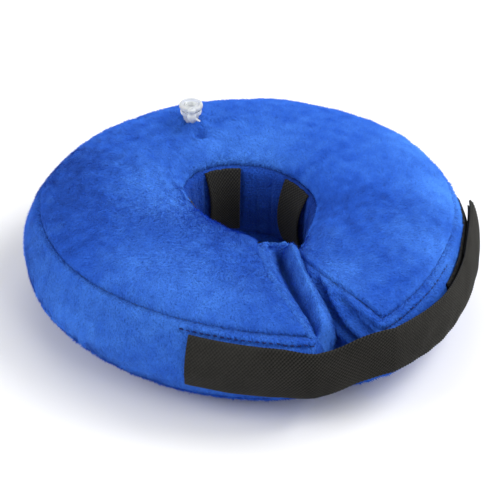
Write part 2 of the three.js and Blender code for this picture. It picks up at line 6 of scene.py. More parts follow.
import bmesh
import bpy
import numpy as np
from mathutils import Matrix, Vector


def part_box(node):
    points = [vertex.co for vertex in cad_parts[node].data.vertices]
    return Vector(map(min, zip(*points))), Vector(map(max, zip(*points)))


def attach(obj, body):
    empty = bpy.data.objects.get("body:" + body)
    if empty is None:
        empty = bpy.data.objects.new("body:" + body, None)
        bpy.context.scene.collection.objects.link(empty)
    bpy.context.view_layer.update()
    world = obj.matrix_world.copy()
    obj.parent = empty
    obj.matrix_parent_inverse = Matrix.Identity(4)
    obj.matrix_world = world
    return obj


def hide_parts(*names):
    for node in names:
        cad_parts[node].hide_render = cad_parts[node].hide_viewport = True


bl_info = {
    "name": "Recovery Collar",
    "version": (1, 0, 0),
    "blender": (4, 5, 0),
    "location": "3D View > Sidebar > Collar",
    "description": "Builds the plush cover, webbing, tapes and valve of an inflatable recovery collar",
    "category": "Object",
}

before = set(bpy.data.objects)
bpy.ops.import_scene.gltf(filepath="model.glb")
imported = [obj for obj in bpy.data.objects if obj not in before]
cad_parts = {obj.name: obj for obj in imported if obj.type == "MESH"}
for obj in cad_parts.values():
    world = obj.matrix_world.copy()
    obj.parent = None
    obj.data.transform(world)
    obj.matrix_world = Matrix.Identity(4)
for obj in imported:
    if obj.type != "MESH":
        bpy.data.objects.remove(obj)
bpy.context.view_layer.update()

# Cover sizes in millimetres, as the solids have them
RIM_RADIUS = 100
NECK_RADIUS = 38
TOP_SEAM = 50
BOTTOM_SEAM = 10
CROWN_RISE = 10
REST_PRESS = 3.5
NECK_LEAN = 4.5
RIM_LEAN = 19
BAND_BULGE = 7.6
BAND_SAG = 0.25
NECK_BULGE = 2.5
COVER_WALL = 1.3
SEAT_GAP = 0.4
SLIT_AZIMUTH = 258.9
SLIT_BEND = (3, 12, 1.5, 0)
BEND_START = 0.6
SLIT_NECK_GAP = 14.5
GAP_FLARE = 1.7
SLIT_RIM_GAP = 38
CORNER_LEAN = 6
LEAN_START = 0.93
LEAN_POWER = 4
CREST = 4 / 3  # how far a curve's inner controls stand out for a crest of 1
WAY_STEPS = 12

# Valve sizes
VALVE_AZIMUTH = 93
VALVE_ACROSS = 0.555
STEM_RADIUS = 4
STEM_BORE = 2.4
STEM_RISE = 10.5
HEAD_RADIUS = 6
HEAD_THICKNESS = 2.6
PLUG_RADIUS = 2.4
PLUG_LENGTH = 7
PLUG_HANG = 0.35
TETHER_THICKNESS = 1
TETHER_WIDTH = 2
PLUG_AZIMUTH = -110

# Webbing sizes
STRAP_WIDTH = 25
STRAP_THICKNESS = 1.8
STRAP_START = -129
STRAP_END = -16
TAPE_THICKNESS = 1
TAPE_MARGIN = 1.5
HOOK_LENGTH = 44
LOOP_TAPE_LENGTH = 70
LOOP_WIDTH = 20
LOOP_THICKNESS = 1.4
LOOP_STANDOFF = 3
LOOP_FOOT = 0.1
LOOP_HEAD = 0.97
SEAM_GAP = 0.3
NECK_LOOPS = {"loop_back": 89, "loop_right": 15, "loop_left": 163}

MM = 0.001
UP = np.array([0.0, 0.0, 1.0])
UPWARD = Vector(UP)


def table(columns, *rows):
    """A short table as a column of values under each name."""
    return dict(zip(columns.split(), np.array(rows, float).T))


# Seams' plan and crown on the way round from the right end wall, 0, to the left one, 1
STATIONS = table(
    "way rim neck crown droop",
    (0.0, 1.045, 1.22, 0.72, 0.09),
    (0.05, 1.01, 0.98, 0.95, 0.03),
    (0.1, 0.983, 0.86, 1.02, 0),
    (0.2, 0.995, 0.82, 1.08, 0),
    (0.3, 1.015, 0.835, 1.14, 0),
    (0.41, 1.01, 0.93, 1.15, 0),
    (0.54, 1.0, 1.03, 1.12, 0),
    (0.63, 1.015, 0.93, 1.14, 0),
    (0.69, 1.027, 0.775, 1.1, 0),
    (0.77, 1.0, 0.66, 1.05, 0),
    (0.86, 0.972, 0.655, 1.04, 0),
    (0.93, 0.982, 0.72, 1, 0.01),
    (0.97, 1.01, 0.78, 0.9, 0.04),
    (1.0, 1.035, 0.87, 0.75, 0.09),
)

# Dents of the top panel: radius as a share of RIM_RADIUS, depth as a share of CROWN_RISE
DENTS = (
    {"way": 0.521, "across": 0.555, "radius": 0.15, "depth": 0.32},
    {"way": 0.955, "across": 0.62, "radius": 0.13, "depth": 0.16},
    {"way": 0.6, "across": 0.42, "radius": 0.14, "depth": 0.12},
)

STRAP_RUN = table(
    "azimuth height standoff hug lift",
    (-129, 0.255, 0, 1, 0),
    (-106, 0.21, 0, 1, 0),
    (-99, 0.18, 0.02, 0.6, 0),
    (-93, 0.2, 0.02, 0.3, 0),
    (-86, 0.28, 0.01, 0.15, 0),
    (-78, 0.29, 0, 0.1, 0.1),
    (-60, 0.22, 0, 0.45, 0.6),
    (-50, 0.205, 0, 0.75, 0.9),
    (-42, 0.23, 0, 0.85, 1),
    (-34, 0.275, 0, 0.9, 1),
    (-24, 0.28, 0.02, 0.88, 1),
    (-16, 0.275, 0.08, 0.85, 1),
)

# The left end's roll from neck, 0, to rim, 1: how far its valley, crest and belly stand out from the
# seam, and how high they are as shares of the wall's height
LEFT_ROLL = table(
    "across valley_out valley_at crest_out crest_at belly_out belly_at",
    (0.0, 5, 1.0, 10, 0.98, 12, 0.86),
    (0.06, 6, 1.02, 12, 1.02, 15, 0.88),
    (0.1, 7.5, 0.97, 13, 0.95, 16, 0.84),
    (0.14, 8.5, 0.82, 13.5, 0.9, 17, 0.8),
    (0.2, 9.5, 0.77, 14.2, 1.0, 18, 0.84),
    (0.35, 10, 0.77, 14.8, 1.03, 18.6, 0.84),
    (0.55, 9.8, 0.77, 15, 1.02, 20, 0.82),
    (0.75, 8.2, 0.78, 13.8, 1.01, 21, 0.76),
    (0.9, 5.6, 0.78, 11, 0.99, 19, 0.7),
    (1.0, 2.5, 0.8, 7.5, 0.96, 13.5, 0.66),
)
ROLL_LOW = {"out": 0.7, "at": 0.3}

# Ridges and furrows of the right end wall: their line between neck, 0, and rim, 1, at the wall's top and
# foot, half width as a share of the wall's length, and rise in millimetres
RIGHT_FOLDS = (
    {"top": 0.4, "foot": 1.7, "width": 0.03, "rise": 4.5},
    {"top": 0.465, "foot": 1.8, "width": 0.038, "rise": -5.0},
    {"top": 0.56, "foot": 1.98, "width": 0.026, "rise": 4.5},
    {"top": 0.66, "foot": 2.1, "width": 0.05, "rise": -5.0},
    {"top": 0.3, "foot": 1.3, "width": 0.06, "rise": -2},
)
RIGHT_SWELL = {"neck": 0.6, "rim": 11.0}


# Small helpers


def lerp(a, b, share):
    return a + (b - a) * share


def arch(share):
    return 4 * share * (1 - share)


def bell(distance):
    return np.exp(-distance * distance)


def smoothstep(value, low, high):
    share = np.clip((value - low) / (high - low), 0, 1)
    return share * share * (3 - 2 * share)


def unit(vectors):
    return vectors / np.maximum(np.linalg.norm(vectors, axis=-1, keepdims=True), 1e-12)


def spread(count, crowding):
    """Shares from 0 to 1, closer together near both ends."""
    share = np.linspace(0, 1, count + 1)
    return share - crowding * np.sin(2 * math.pi * share) / (2 * math.pi)


def table_value(rows, column, place):
    """A column's value at each place, on a smooth curve through the rows."""
    key = rows[next(iter(rows))]
    value = rows[column]
    slope = np.empty_like(value)
    slope[1:-1] = (value[2:] - value[:-2]) / (key[2:] - key[:-2])
    slope[0] = (value[1] - value[0]) / (key[1] - key[0])
    slope[-1] = (value[-1] - value[-2]) / (key[-1] - key[-2])
    place = np.asarray(place, float)
    row = np.clip(np.searchsorted(key, place, side="right") - 1, 0, len(key) - 2)
    span = key[row + 1] - key[row]
    s = np.clip((place - key[row]) / span, 0, 1)
    from_start = (2 * s**3 - 3 * s**2 + 1) * value[row] + (s**3 - 2 * s**2 + s) * span * slope[row]
    from_end = (3 * s**2 - 2 * s**3) * value[row + 1] + (s**3 - s**2) * span * slope[row + 1]
    return from_start + from_end


LUMP_WAVES = 14
LUMP_SCALE = 1.2  # brings the sum of the waves to between about -1 and 1


def lumps(points, size, seed):
    """Smooth uneven values between about -1 and 1, with features of the given size."""
    random = np.random.default_rng(seed)
    total = np.zeros(points.shape[:-1])
    for _ in range(LUMP_WAVES):
        heading = unit(random.normal(size=3)) * random.uniform(0.6, 1.4) * 2 * math.pi / size
        total += np.sin(points @ heading + random.uniform(0, 2 * math.pi))
    return total / math.sqrt(LUMP_WAVES) * LUMP_SCALE


def uneven(points, layers):
    """The sum of several lumps, each given as its height, size and seed."""
    return sum(height * lumps(points, size, seed) for height, size, seed in layers)


# The cover's surfaces


def station(column, way):
    return table_value(STATIONS, column, way)


def gap_width(across):
    return lerp(SLIT_NECK_GAP, SLIT_RIM_GAP, across**GAP_FLARE)


def gap_angle(across):
    return np.degrees(gap_width(across) / lerp(NECK_RADIUS, RIM_RADIUS, across))


def azimuth_of(way, across):
    """The azimuth in degrees of a place between the slit's two ends and between neck and rim."""
    lean = math.degrees(CORNER_LEAN / RIM_RADIUS) * smoothstep(way, LEAN_START, 1) * across**LEAN_POWER
    bend = bezier(*SLIT_BEND, across) * smoothstep(2 * np.abs(way - 0.5), BEND_START, 1)
    return SLIT_AZIMUTH - (1 - way) * (360 - gap_angle(across)) + lean - bend


def way_of(azimuth, across):
    """The place between the slit's two ends that has an azimuth, found in a few steps."""
    whole = 360 - gap_angle(across)
    onward = np.mod(azimuth - azimuth_of(0.0, across), 360)
    way = onward / whole
    for _ in range(WAY_STEPS):
        way = way + (azimuth_of(0.0, across) + onward - azimuth_of(way, across)) / whole
    return np.clip(way, 0, 1)


def bezier(a, b, c, d, s):
    return (1 - s) ** 3 * a + 3 * (1 - s) ** 2 * s * b + 3 * (1 - s) * s * s * c + s**3 * d


def plan_point(way, across):
    """A place of the cover's plan, at height 0, from its share of the way round and from neck to rim."""
    neck = NECK_RADIUS * station("neck", way)
    rim = RIM_RADIUS * station("rim", way)
    radius = bezier(neck, neck + NECK_LEAN, rim - RIM_LEAN, rim, across)
    turn = np.radians(azimuth_of(way, across))
    return np.stack([radius * np.cos(turn), radius * np.sin(turn), np.zeros(np.shape(radius))], -1)


def plan_normal(way, across):
    """The level way out of the cover, at right angles to the line through a place of the plan."""
    nudge = 0.002
    ahead = plan_point(np.minimum(way + nudge, 1), across)
    behind = plan_point(np.maximum(way - nudge, 0), across)
    along = unit(ahead - behind)
    return np.stack([along[..., 1], -along[..., 0], np.zeros(along.shape[:-1])], -1)


def seam_droop(way):
    return station("droop", way) * (TOP_SEAM - BOTTOM_SEAM)


def top_point(way, across):
    """A point of the top panel, with its crown and its dents."""
    here = plan_point(way, across)
    dent = 0
    for row in DENTS:
        away = np.linalg.norm(here - plan_point(np.array(row["way"]), np.array(row["across"])), axis=-1)
        dent = dent + row["depth"] * CROWN_RISE * bell(away / (row["radius"] * RIM_RADIUS))
    control = TOP_SEAM + CREST * CROWN_RISE * station("crown", way)
    height = bezier(TOP_SEAM, control, control, TOP_SEAM - seam_droop(way), across)
    return here + (height - dent * arch(across))[..., None] * UP


def bottom_point(way, across):
    control = BOTTOM_SEAM - CREST * (BOTTOM_SEAM + REST_PRESS)
    height = bezier(BOTTOM_SEAM, control, control, BOTTOM_SEAM + seam_droop(way), across)
    return plan_point(way, across) + np.maximum(height, 0)[..., None] * UP


def band_swell(share):
    return BAND_BULGE * arch(share) * (1 + BAND_SAG * (1 - 2 * share))


def band_point(way, share):
    rim = np.ones_like(way)
    point = lerp(bottom_point(way, rim), top_point(way, rim), share[..., None])
    return point + plan_normal(way, rim) * band_swell(share)[..., None]


def neck_point(way, share):
    neck = np.zeros_like(way)
    point = lerp(bottom_point(way, neck), top_point(way, neck), share[..., None])
    return point - plan_normal(way, neck) * (NECK_BULGE * arch(share))[..., None]


VALVE_WAY = way_of(np.array(float(VALVE_AZIMUTH)), np.array(VALVE_ACROSS))
VALVE_SEAT = top_point(VALVE_WAY, np.array(VALVE_ACROSS))


def frame_shift():
    """How far the frame lies from the cover's own axes, read from the valve."""
    low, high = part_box("valve_stem")
    middle = (Vector(low) + Vector(high)) / 2 / MM
    head_top = VALVE_SEAT[2] + STEM_RISE + HEAD_THICKNESS
    return np.array([middle[0] - VALVE_SEAT[0], middle[1] - VALVE_SEAT[1], high[2] / MM - head_top])


SHIFT = frame_shift()


# Meshes from grids of points


def make_object(name, points, faces, materials):
    """A smooth-shaded object from points in millimetres, in the cover's own axes."""
    mesh = bpy.data.meshes.new(name)
    mesh.from_pydata(((points + SHIFT) * MM).tolist(), [], faces.tolist())
    mesh.validate()
    mesh.shade_smooth()
    for material in materials:
        mesh.materials.append(material)
    made = bpy.data.objects.new(name, mesh)
    bpy.context.scene.collection.objects.link(made)
    return made


def add_attribute(mesh, name, kind, values):
    attribute = mesh.attributes.new(name, kind, "POINT")
    key = "vector" if kind == "FLOAT_VECTOR" else "value"
    attribute.data.foreach_set(key, np.ascontiguousarray(values, dtype=np.float32).ravel())


def grid_quads(columns, rows, keep=None):
    index = np.arange(columns * rows).reshape(columns, rows)
    quads = np.stack([index[:-1, :-1], index[1:, :-1], index[1:, 1:], index[:-1, 1:]], -1)
    return quads[keep] if keep is not None else quads.reshape(-1, 4)


def make_shell(name, outer, inner, material, keep=None, layers=None):
    """The closed wall between two grids of points, its free edges closed too, with a value at each point
    for every named layer."""
    count = outer.shape[0] * outer.shape[1]
    quads = grid_quads(*outer.shape[:2], keep)
    edges = np.concatenate([quads[:, [side, (side + 1) % 4]] for side in range(4)])
    forward = edges[:, 0] * count + edges[:, 1]
    backward = edges[:, 1] * count + edges[:, 0]
    free = edges[~np.isin(forward, backward)]
    walls = np.stack([free[:, 1], free[:, 0], free[:, 0] + count, free[:, 1] + count], -1)
    faces = np.concatenate([quads, quads[:, ::-1] + count, walls])
    points = np.concatenate([outer.reshape(-1, 3), inner.reshape(-1, 3)])
    used, faces = np.unique(faces, return_inverse=True)
    shell = make_object(name, points[used], faces.reshape(-1, 4), [material])
    for layer, values in (layers or {}).items():
        add_attribute(shell.data, layer, "FLOAT", np.tile(values.ravel(), 2)[used])
    return shell


def grid_normals(points):
    return unit(np.cross(np.gradient(points, axis=0), np.gradient(points, axis=1)))


def lengths(points, axis):
    """Distance run along the grid, from its first line on."""
    steps = np.linalg.norm(np.diff(points, axis=axis), axis=-1)
    run = np.cumsum(steps, axis=axis)
    start = np.zeros_like(np.take(run, [0], axis=axis))
    return np.concatenate([start, run], axis=axis)


def edge_distances(points):
    """Distance of each point from the grid's first and last column, and first and last row."""
    across = lengths(points, 0)
    up = lengths(points, 1)
    return across, across[-1:] - across, up, up[:, -1:] - up


# Seams

ALONG_CROWDING = 0.4  # how much closer together a grid's lines lie near the seams
ACROSS_CROWDING = 0.55
SEAM_DEPTH = 2.0
SEAM_WIDTH = 1.5
SEAM_BARE = 0.5
SEAM_FULL = 2.7
SEAM_IN = 0.75
SEAM_DOWN = 0.66
PUFF_WIDTH = 5.0
PUFF_RISE = 0.4
PUCKER_REACH = 7.0
PUCKER_RISE = 0.2
PUCKER_SIZE = 6.5
CALM_WIDTH = 9  # how far from its seams a sheet starts to swell unevenly
STITCH_DROP = 5.0
STITCH_DEPTH = 1.0
STITCH_REACH = 72.0
STITCH_PROUD = 0.45
STITCH_WIDTH = 1.1

# Uneven swell of a sheet held out by air: heights and sizes in millimetres, and seeds
SLACK = ((0.45, 50, 11), (0.14, 20, 12))


def nearest_edge(edges):
    return np.minimum.reduce([distance for distance, _ in edges])


def sewn(points, normals, edges, vertical):
    """Draws a sheet in at its seams. Each edge gives its distance and the way out of the cover there."""
    weights = [bell(distance / SEAM_WIDTH) for distance, _ in edges]
    outward = sum(weight[..., None] * out for weight, (_, out) in zip(weights, edges))
    depth = np.maximum.reduce(weights)
    nearest = nearest_edge(edges)
    inward = -(unit(outward) * SEAM_IN + UP * SEAM_DOWN * np.asarray(vertical)[..., None])
    puff = PUFF_RISE * (nearest / PUFF_WIDTH) * bell(nearest / PUFF_WIDTH) * 2
    pucker = PUCKER_RISE * lumps(points, PUCKER_SIZE, 5) * np.exp(-nearest / PUCKER_REACH)
    return points + inward * (SEAM_DEPTH * depth)[..., None] + normals * (puff + pucker)[..., None]


def growth_near(distance, groove=0.0):
    """How full the pile stands: it parts at a seam and under stitching."""
    return smoothstep(distance, SEAM_BARE, SEAM_FULL) * (1 - groove)


def slack(points, normals, share):
    """The sheet with its uneven swell, as much of it as the share at each point."""
    swollen = points + normals * uneven(points, SLACK)[..., None]
    return lerp(points, swollen, share[..., None])


def grid_along(way, across):
    normal = plan_normal(way, across)
    return np.stack([-normal[..., 1], normal[..., 0], normal[..., 2]], -1)


def panel_edges(points, way, across):
    """A panel's distance from each of its four edges, and the way out of the cover there."""
    right, left, neck, rim = edge_distances(points)
    outward = plan_normal(way, across)
    along = grid_along(way, across)
    return [(rim, outward), (neck, -outward), (right, -along), (left, along)]


def panel_grid(columns, rows):
    return np.meshgrid(spread(columns, ALONG_CROWDING), spread(rows, ACROSS_CROWDING), indexing="ij")


def top_sheet():
    way, across = panel_grid(400, 76)
    points = top_point(way, across)
    edges = panel_edges(points, way, across)
    nearest = nearest_edge(edges)
    normals = -grid_normals(points)
    points = slack(points, normals, smoothstep(nearest, 0, CALM_WIDTH))
    points = points + valve_pucker(points)[..., None] * UP
    return sewn(points, normals, edges, 1.0), growth_near(nearest)


# Cloth round the valve, in millimetres from its middle: folds that run outwards, the rise up to the
# stem, the pocket in front, and the crease that runs on from it
VALVE_FOLDS = {"count": 7, "rise": 0.8, "middle": 9, "spread": 8}
VALVE_GATHER = {"rise": 4.5, "spread": 4.5, "less_in_front": 0.3}
VALVE_POCKET = {"depth": 4.0, "x": 0.5, "y": -10.5, "spread": 4.2, "flatness": 1.2}
VALVE_CREASE = {"depth": 1.8, "y": -9, "slant": 0.75, "width": 3, "middle": 16, "spread": 9}


def valve_pucker(points):
    """How far the cloth round the valve is raised."""
    away = points - VALVE_SEAT
    x, y = away[..., 0], away[..., 1]
    reach = np.hypot(x, y)
    turn = np.arctan2(y, x)
    row = VALVE_FOLDS
    wave = np.cos(row["count"] * turn + 1.2 + 0.6 * np.sin(2 * turn))
    folds = row["rise"] * wave * bell((reach - row["middle"]) / row["spread"])
    row = VALVE_GATHER
    front = row["less_in_front"] * bell((turn + 1.9) / 0.7)
    gathered = row["rise"] * bell(np.maximum(reach - STEM_RADIUS, 0) / row["spread"]) * (1 - front)
    row = VALVE_POCKET
    from_pocket = np.hypot(x - row["x"], (y - row["y"]) * row["flatness"])
    pocket = row["depth"] * bell(from_pocket / row["spread"])
    row = VALVE_CREASE
    crease = bell((x + row["slant"] * (y - row["y"])) / row["width"])
    crease = crease * bell((reach - row["middle"]) / row["spread"])
    return folds + gathered - pocket - row["depth"] * crease * (y < 0)


def base_sheet():
    way, across = panel_grid(280, 44)
    points = bottom_point(way, across)
    edges = panel_edges(points, way, across)
    points = sewn(points, grid_normals(points), edges, -1.0)
    points[..., 2] = np.maximum(points[..., 2], 0)
    return points, growth_near(nearest_edge(edges))


# The side strip: right end wall, outer band, left end wall

END_COLUMNS = 96
BAND_COLUMNS = 392
BAND_CROWDING = 0.35
CORNER_SOFTENING = 3
STRIP_ROWS = 64
STRIP_SLACK = 0.8
STRIP_FOOT = 0.15


def even_curve(points, count):
    """Points evenly spaced along a smooth curve through a few control points, for each column."""
    before = 2 * points[:, :1] - points[:, 1:2]
    after = 2 * points[:, -1:] - points[:, -2:-1]
    padded = np.concatenate([before, points, after], 1)
    dense = []
    steps = 24  # points of the curve from one control point to the next
    for k in range(points.shape[1] - 1):
        a, b, c, d = (padded[:, k + i, None] for i in range(4))
        s = (np.arange(steps) / steps)[None, :, None]
        bend = (2 * a - 5 * b + 4 * c - d) * s**2
        dense.append(0.5 * (2 * b + (c - a) * s + bend + (3 * b - a - 3 * c + d) * s**3))
    dense = np.concatenate([*dense, points[:, -1:]], 1)
    run = lengths(dense, 1)
    even = np.linspace(0, 1, count + 1)
    out = np.empty((len(points), count + 1, 2))
    for column, (curve, length) in enumerate(zip(dense, run)):
        for axis in range(2):
            out[column, :, axis] = np.interp(even * length[-1], length, curve[:, axis])
    return out


def roll_profile(across):
    """The left end's section as (out, share of height) from foot to head, for each column."""
    value = {name: table_value(LEFT_ROLL, name, across) for name in LEFT_ROLL if name != "across"}
    belly, belly_at = value["belly_out"], value["belly_at"]
    crest, crest_at = value["crest_out"], value["crest_at"]
    valley, valley_at = value["valley_out"], value["valley_at"]
    zero = np.zeros_like(across)
    one = np.ones_like(across)
    corners = [
        (zero, zero),
        (belly * ROLL_LOW["out"] * 0.6, 0.08 * one),
        (belly * ROLL_LOW["out"], ROLL_LOW["at"] * one),
        (belly, belly_at),
        (crest, crest_at),
        (lerp(valley, crest, 0.3), lerp(valley_at, crest_at, 0.5)),
        (valley, valley_at),
        (valley * 0.75, lerp(one, valley_at, 0.55)),
        (zero, one),
    ]
    return even_curve(np.stack([np.stack(corner, -1) for corner in corners], 1), STRIP_ROWS)


def right_profile(across):
    """The right end's section, in the same way: a swell with ridges and furrows across it."""
    share = np.linspace(0, 1, STRIP_ROWS + 1)[None]
    across = across[:, None]
    fade = np.sqrt(arch(share)) * arch(across) ** 0.35
    swell = lerp(RIGHT_SWELL["neck"], RIGHT_SWELL["rim"], smoothstep(across, 0.25, 0.95))
    out = swell * arch(share) ** 0.7 * np.minimum(arch(across) ** 0.35, 1)
    for fold in RIGHT_FOLDS:
        line = lerp(fold["foot"], fold["top"], share)
        out = out + fold["rise"] * bell((across - line) / fold["width"]) * fade
    return np.stack([out, np.broadcast_to(share, out.shape)], -1)


def end_wall(side):
    """An end wall from neck to rim, as columns from foot to head, with its way out."""
    across = spread(END_COLUMNS, 0.4)
    way = np.full_like(across, 1.0 if side == "left" else 0.0)
    foot = bottom_point(way, across)
    head = top_point(way, across)
    along = unit(np.gradient(plan_point(way, across), axis=0))
    sign = 1 if side == "left" else -1
    outward = np.stack([-along[:, 1] * sign, along[:, 0] * sign, np.zeros(len(across))], -1)
    share = np.linspace(0, 1, STRIP_ROWS + 1)[None]
    swell = lerp(NECK_BULGE * arch(share), band_swell(share), (across > 0.5)[:, None])
    plain = np.stack([swell, np.broadcast_to(share, swell.shape)], -1)
    folded = roll_profile(across) if side == "left" else right_profile(across)
    fade = smoothstep(across, 0, 0.05) * (1 - smoothstep(across, 0.95, 1))
    profile = lerp(plain, folded, fade[:, None, None])
    points = lerp(foot[:, None], head[:, None], profile[..., 1:])
    return points + outward[:, None] * profile[..., :1], outward


def sewn_strip(points, normals, outward, foot, head):
    """Draws an upright strip in at its two long seams, up at its head and down at its foot."""
    return sewn(points, normals, [(np.minimum(foot, head), outward)], np.where(head < foot, 1.0, -1.0))


def side_sheet():
    right, right_out = end_wall("right")
    left, left_out = end_wall("left")
    rows = np.linspace(0, 1, STRIP_ROWS + 1)
    way, share = np.meshgrid(spread(BAND_COLUMNS, BAND_CROWDING)[1:-1], rows, indexing="ij")
    band = band_point(way, share)
    band_out = plan_normal(way[:, 0], np.ones(len(way)))
    points = np.concatenate([right, band, left[::-1]])
    outward = np.concatenate([right_out, band_out, left_out[::-1]])
    for _ in range(CORNER_SOFTENING):
        outward[1:-1] = unit(outward[:-2] + outward[1:-1] + outward[2:])
    outward = np.broadcast_to(outward[:, None], points.shape)
    normals = grid_normals(points)
    _, _, foot, head = edge_distances(points)
    nearest = np.minimum(foot, head)
    points = slack(points, normals, smoothstep(nearest, 0, CALM_WIDTH) * STRIP_SLACK)
    points = sewn_strip(points, normals, outward, foot, head)
    groove = topstitch_groove(points, head)
    points = points - normals * (STITCH_DEPTH * groove)[..., None]
    points[..., 2] = np.maximum(points[..., 2], STRIP_FOOT)
    return points, growth_near(nearest, groove)


def turn_from_slit(points):
    turn = np.degrees(np.arctan2(points[..., 1], points[..., 0]))
    return np.abs(turn - (SLIT_AZIMUTH - 360 + gap_angle(1.0) / 2))


def stitch_lines():
    """The topstitching's two lines on the band, one on each side of the slit."""
    points, _ = side_sheet()
    points = points[END_COLUMNS + 1 : -END_COLUMNS - 1]
    normals = grid_normals(points)
    head = edge_distances(points)[-1]
    row = np.argmin(np.abs(head - STITCH_DROP), axis=1)
    column = np.arange(len(points))
    line = points[column, row] + normals[column, row] * STITCH_PROUD
    near = turn_from_slit(line) < math.degrees(STITCH_REACH / RIM_RADIUS)
    return line[near & (column < len(line) / 2)], line[near & (column > len(line) / 2)]


def topstitch_groove(points, head):
    """The groove under the topstitching on both sides of the slit."""
    reach = math.degrees(STITCH_REACH / RIM_RADIUS)
    near = 1 - smoothstep(turn_from_slit(points), reach, reach + 3)
    return bell((head - STITCH_DROP) / STITCH_WIDTH) * near


NECK_COLUMNS = 240
NECK_ROWS = 32
NECK_CROWDING = 0.3

# Gathers of the neck wall: height, length, phase, and how unevenly they run
NECK_GATHERS = ((0.55, 7.5, 0.0, 1.3), (0.35, 4.3, 2.0, 0.0))


def neck_sheet():
    rows = np.linspace(0, 1, NECK_ROWS + 1)
    way, share = np.meshgrid(spread(NECK_COLUMNS, NECK_CROWDING), rows, indexing="ij")
    points = neck_point(way, share)
    outward = -plan_normal(way, np.zeros_like(way))
    run = lengths(points, 0)[:, :1]
    gathers = 0
    for height, length, phase, drift in NECK_GATHERS:
        gathers = gathers + height * np.sin(run * 2 * math.pi / length + drift * np.sin(run / 9) + phase)
    points = points + outward * (gathers * np.sqrt(arch(share)))[..., None]
    _, _, foot, head = edge_distances(points)
    return sewn_strip(points, outward, outward, foot, head), growth_near(np.minimum(foot, head))


# Materials

# Features of the plush for each metre, and how much each counts in its tone
PLUSH_PATCHES, PATCH_TONE = 90, 0.14
PLUSH_MOTTLE, MOTTLE_TONE = 210, 0.28
PLUSH_GRAIN = 1000
GRAIN_SHARE = {"ground": 0.6, "pile": 0.25}
PILE_LOOPS = 1100.0


def add_node(tree, kind, inputs=None, **settings):
    """Adds a node, and links or sets its inputs by socket name or number."""
    made = tree.nodes.new(kind)
    for name, value in settings.items():
        setattr(made, name, value)
    for socket, value in (inputs or {}).items():
        if isinstance(value, bpy.types.NodeSocket):
            tree.links.new(value, made.inputs[socket])
        else:
            made.inputs[socket].default_value = value
    return made


class Shade:
    """A material's node tree, with short ways to add and link its nodes."""

    def __init__(self, name, sockets):
        self.material = bpy.data.materials.new(name)
        self.material.use_nodes = True
        self.tree = self.material.node_tree
        self.shader = self.tree.nodes["Principled BSDF"]
        for socket, value in sockets.items():
            self.shader.inputs[socket].default_value = value
        self.place = self.node("ShaderNodeTexCoord").outputs["Object"]

    def node(self, kind, inputs=None, **settings):
        return add_node(self.tree, kind, inputs, **settings)

    def noise(self, per_metre, detail=2.0, roughness=0.5):
        inputs = {"Vector": self.place, "Scale": per_metre, "Detail": detail, "Roughness": roughness}
        return self.node("ShaderNodeTexNoise", inputs).outputs["Fac"]

    def attribute(self, name):
        return self.node("ShaderNodeAttribute", attribute_name=name).outputs["Fac"]

    def levels(self, value, low, high):
        inputs = {"Value": value, "From Min": low, "From Max": high}
        return self.node("ShaderNodeMapRange", inputs).outputs["Result"]

    def mix(self, share, a, b):
        made = self.node("ShaderNodeMix", data_type="RGBA")
        for socket, value in (("Factor_Float", share), ("A_Color", a), ("B_Color", b)):
            target = next(entry for entry in made.inputs if entry.identifier == socket)
            if isinstance(value, bpy.types.NodeSocket):
                self.tree.links.new(value, target)
            else:
                target.default_value = value
        return next(entry for entry in made.outputs if entry.identifier == "Result_Color")

    def maths(self, operation, a, b):
        return self.node("ShaderNodeMath", {0: a, 1: b}, operation=operation).outputs[0]

    def colour(self, source):
        self.tree.links.new(source, self.shader.inputs["Base Color"])

    def bump(self, height, distance, strength=1.0):
        inputs = {"Height": height, "Distance": distance, "Strength": strength}
        made = self.node("ShaderNodeBump", inputs)
        self.tree.links.new(made.outputs["Normal"], self.shader.inputs["Normal"])


def plush_material(name, deep, body, light, strands):
    """Short-pile plush: random patches, fine mottling, painted light and shade, and on the ground cloth
    the pile's relief.
    """
    sockets = {"Roughness": 0.9, "Sheen Weight": 0.12, "Sheen Roughness": 0.4}
    shade = Shade(name, {**sockets, "Sheen Tint": (0.25, 0.5, 1.0, 1.0), "Specular IOR Level": 0.06})
    patches = shade.levels(shade.noise(PLUSH_PATCHES, 3, 0.6), 0.35, 0.65)
    mottle = shade.levels(shade.noise(PLUSH_MOTTLE, 3, 0.65), 0.3, 0.7)
    grain = shade.levels(shade.noise(PLUSH_GRAIN, 2, 0.6), 0.3, 0.7)
    tone = shade.maths("MULTIPLY", patches, PATCH_TONE)
    tone = shade.maths("ADD", tone, shade.maths("MULTIPLY", mottle, MOTTLE_TONE))
    # Each sheet's painted light and shade, carried in its points, is added to the random tone here
    tone = shade.maths("ADD", tone, shade.attribute("tone_and_painted_light"))
    lit = shade.mix(shade.levels(tone, 0.05, 1.15), body, light)
    # Tone below 0.1 draws the plush towards the deep colour: random tone, and the painted shade of the
    # neck, the side strip and the dark patches
    base = shade.mix(shade.levels(tone, 0.1, -0.9), lit, deep)
    share = GRAIN_SHARE["pile" if strands else "ground"]
    shade.colour(shade.mix(shade.maths("MULTIPLY", grain, share), base, deep))
    if not strands:
        shade.bump(grain, 0.0009)
    return shade.material


def webbing_material(name, dark, light, threads):
    """Black woven tape: painted highlights on the raised threads and painted shade between them, random
    fuzz, and fine fibres roughen it.
    """
    shade = Shade(name, {"Roughness": 0.75, "Specular IOR Level": 0.15, "Sheen Weight": 0.03})
    fuzz = shade.noise(threads, 3, 0.65)
    patches = shade.noise(60, 2)
    tone = shade.maths("ADD", shade.maths("MULTIPLY", fuzz, 0.4), shade.maths("MULTIPLY", patches, 0.25))
    # Painted highlight on the weave's raised threads and painted shade between them
    tone = shade.maths("ADD", tone, shade.maths("MULTIPLY", shade.attribute("thread"), 0.55))
    shade.colour(shade.mix(shade.levels(tone, 0.1, 0.9), dark, light))
    shade.bump(fuzz, 0.0004)
    return shade.material


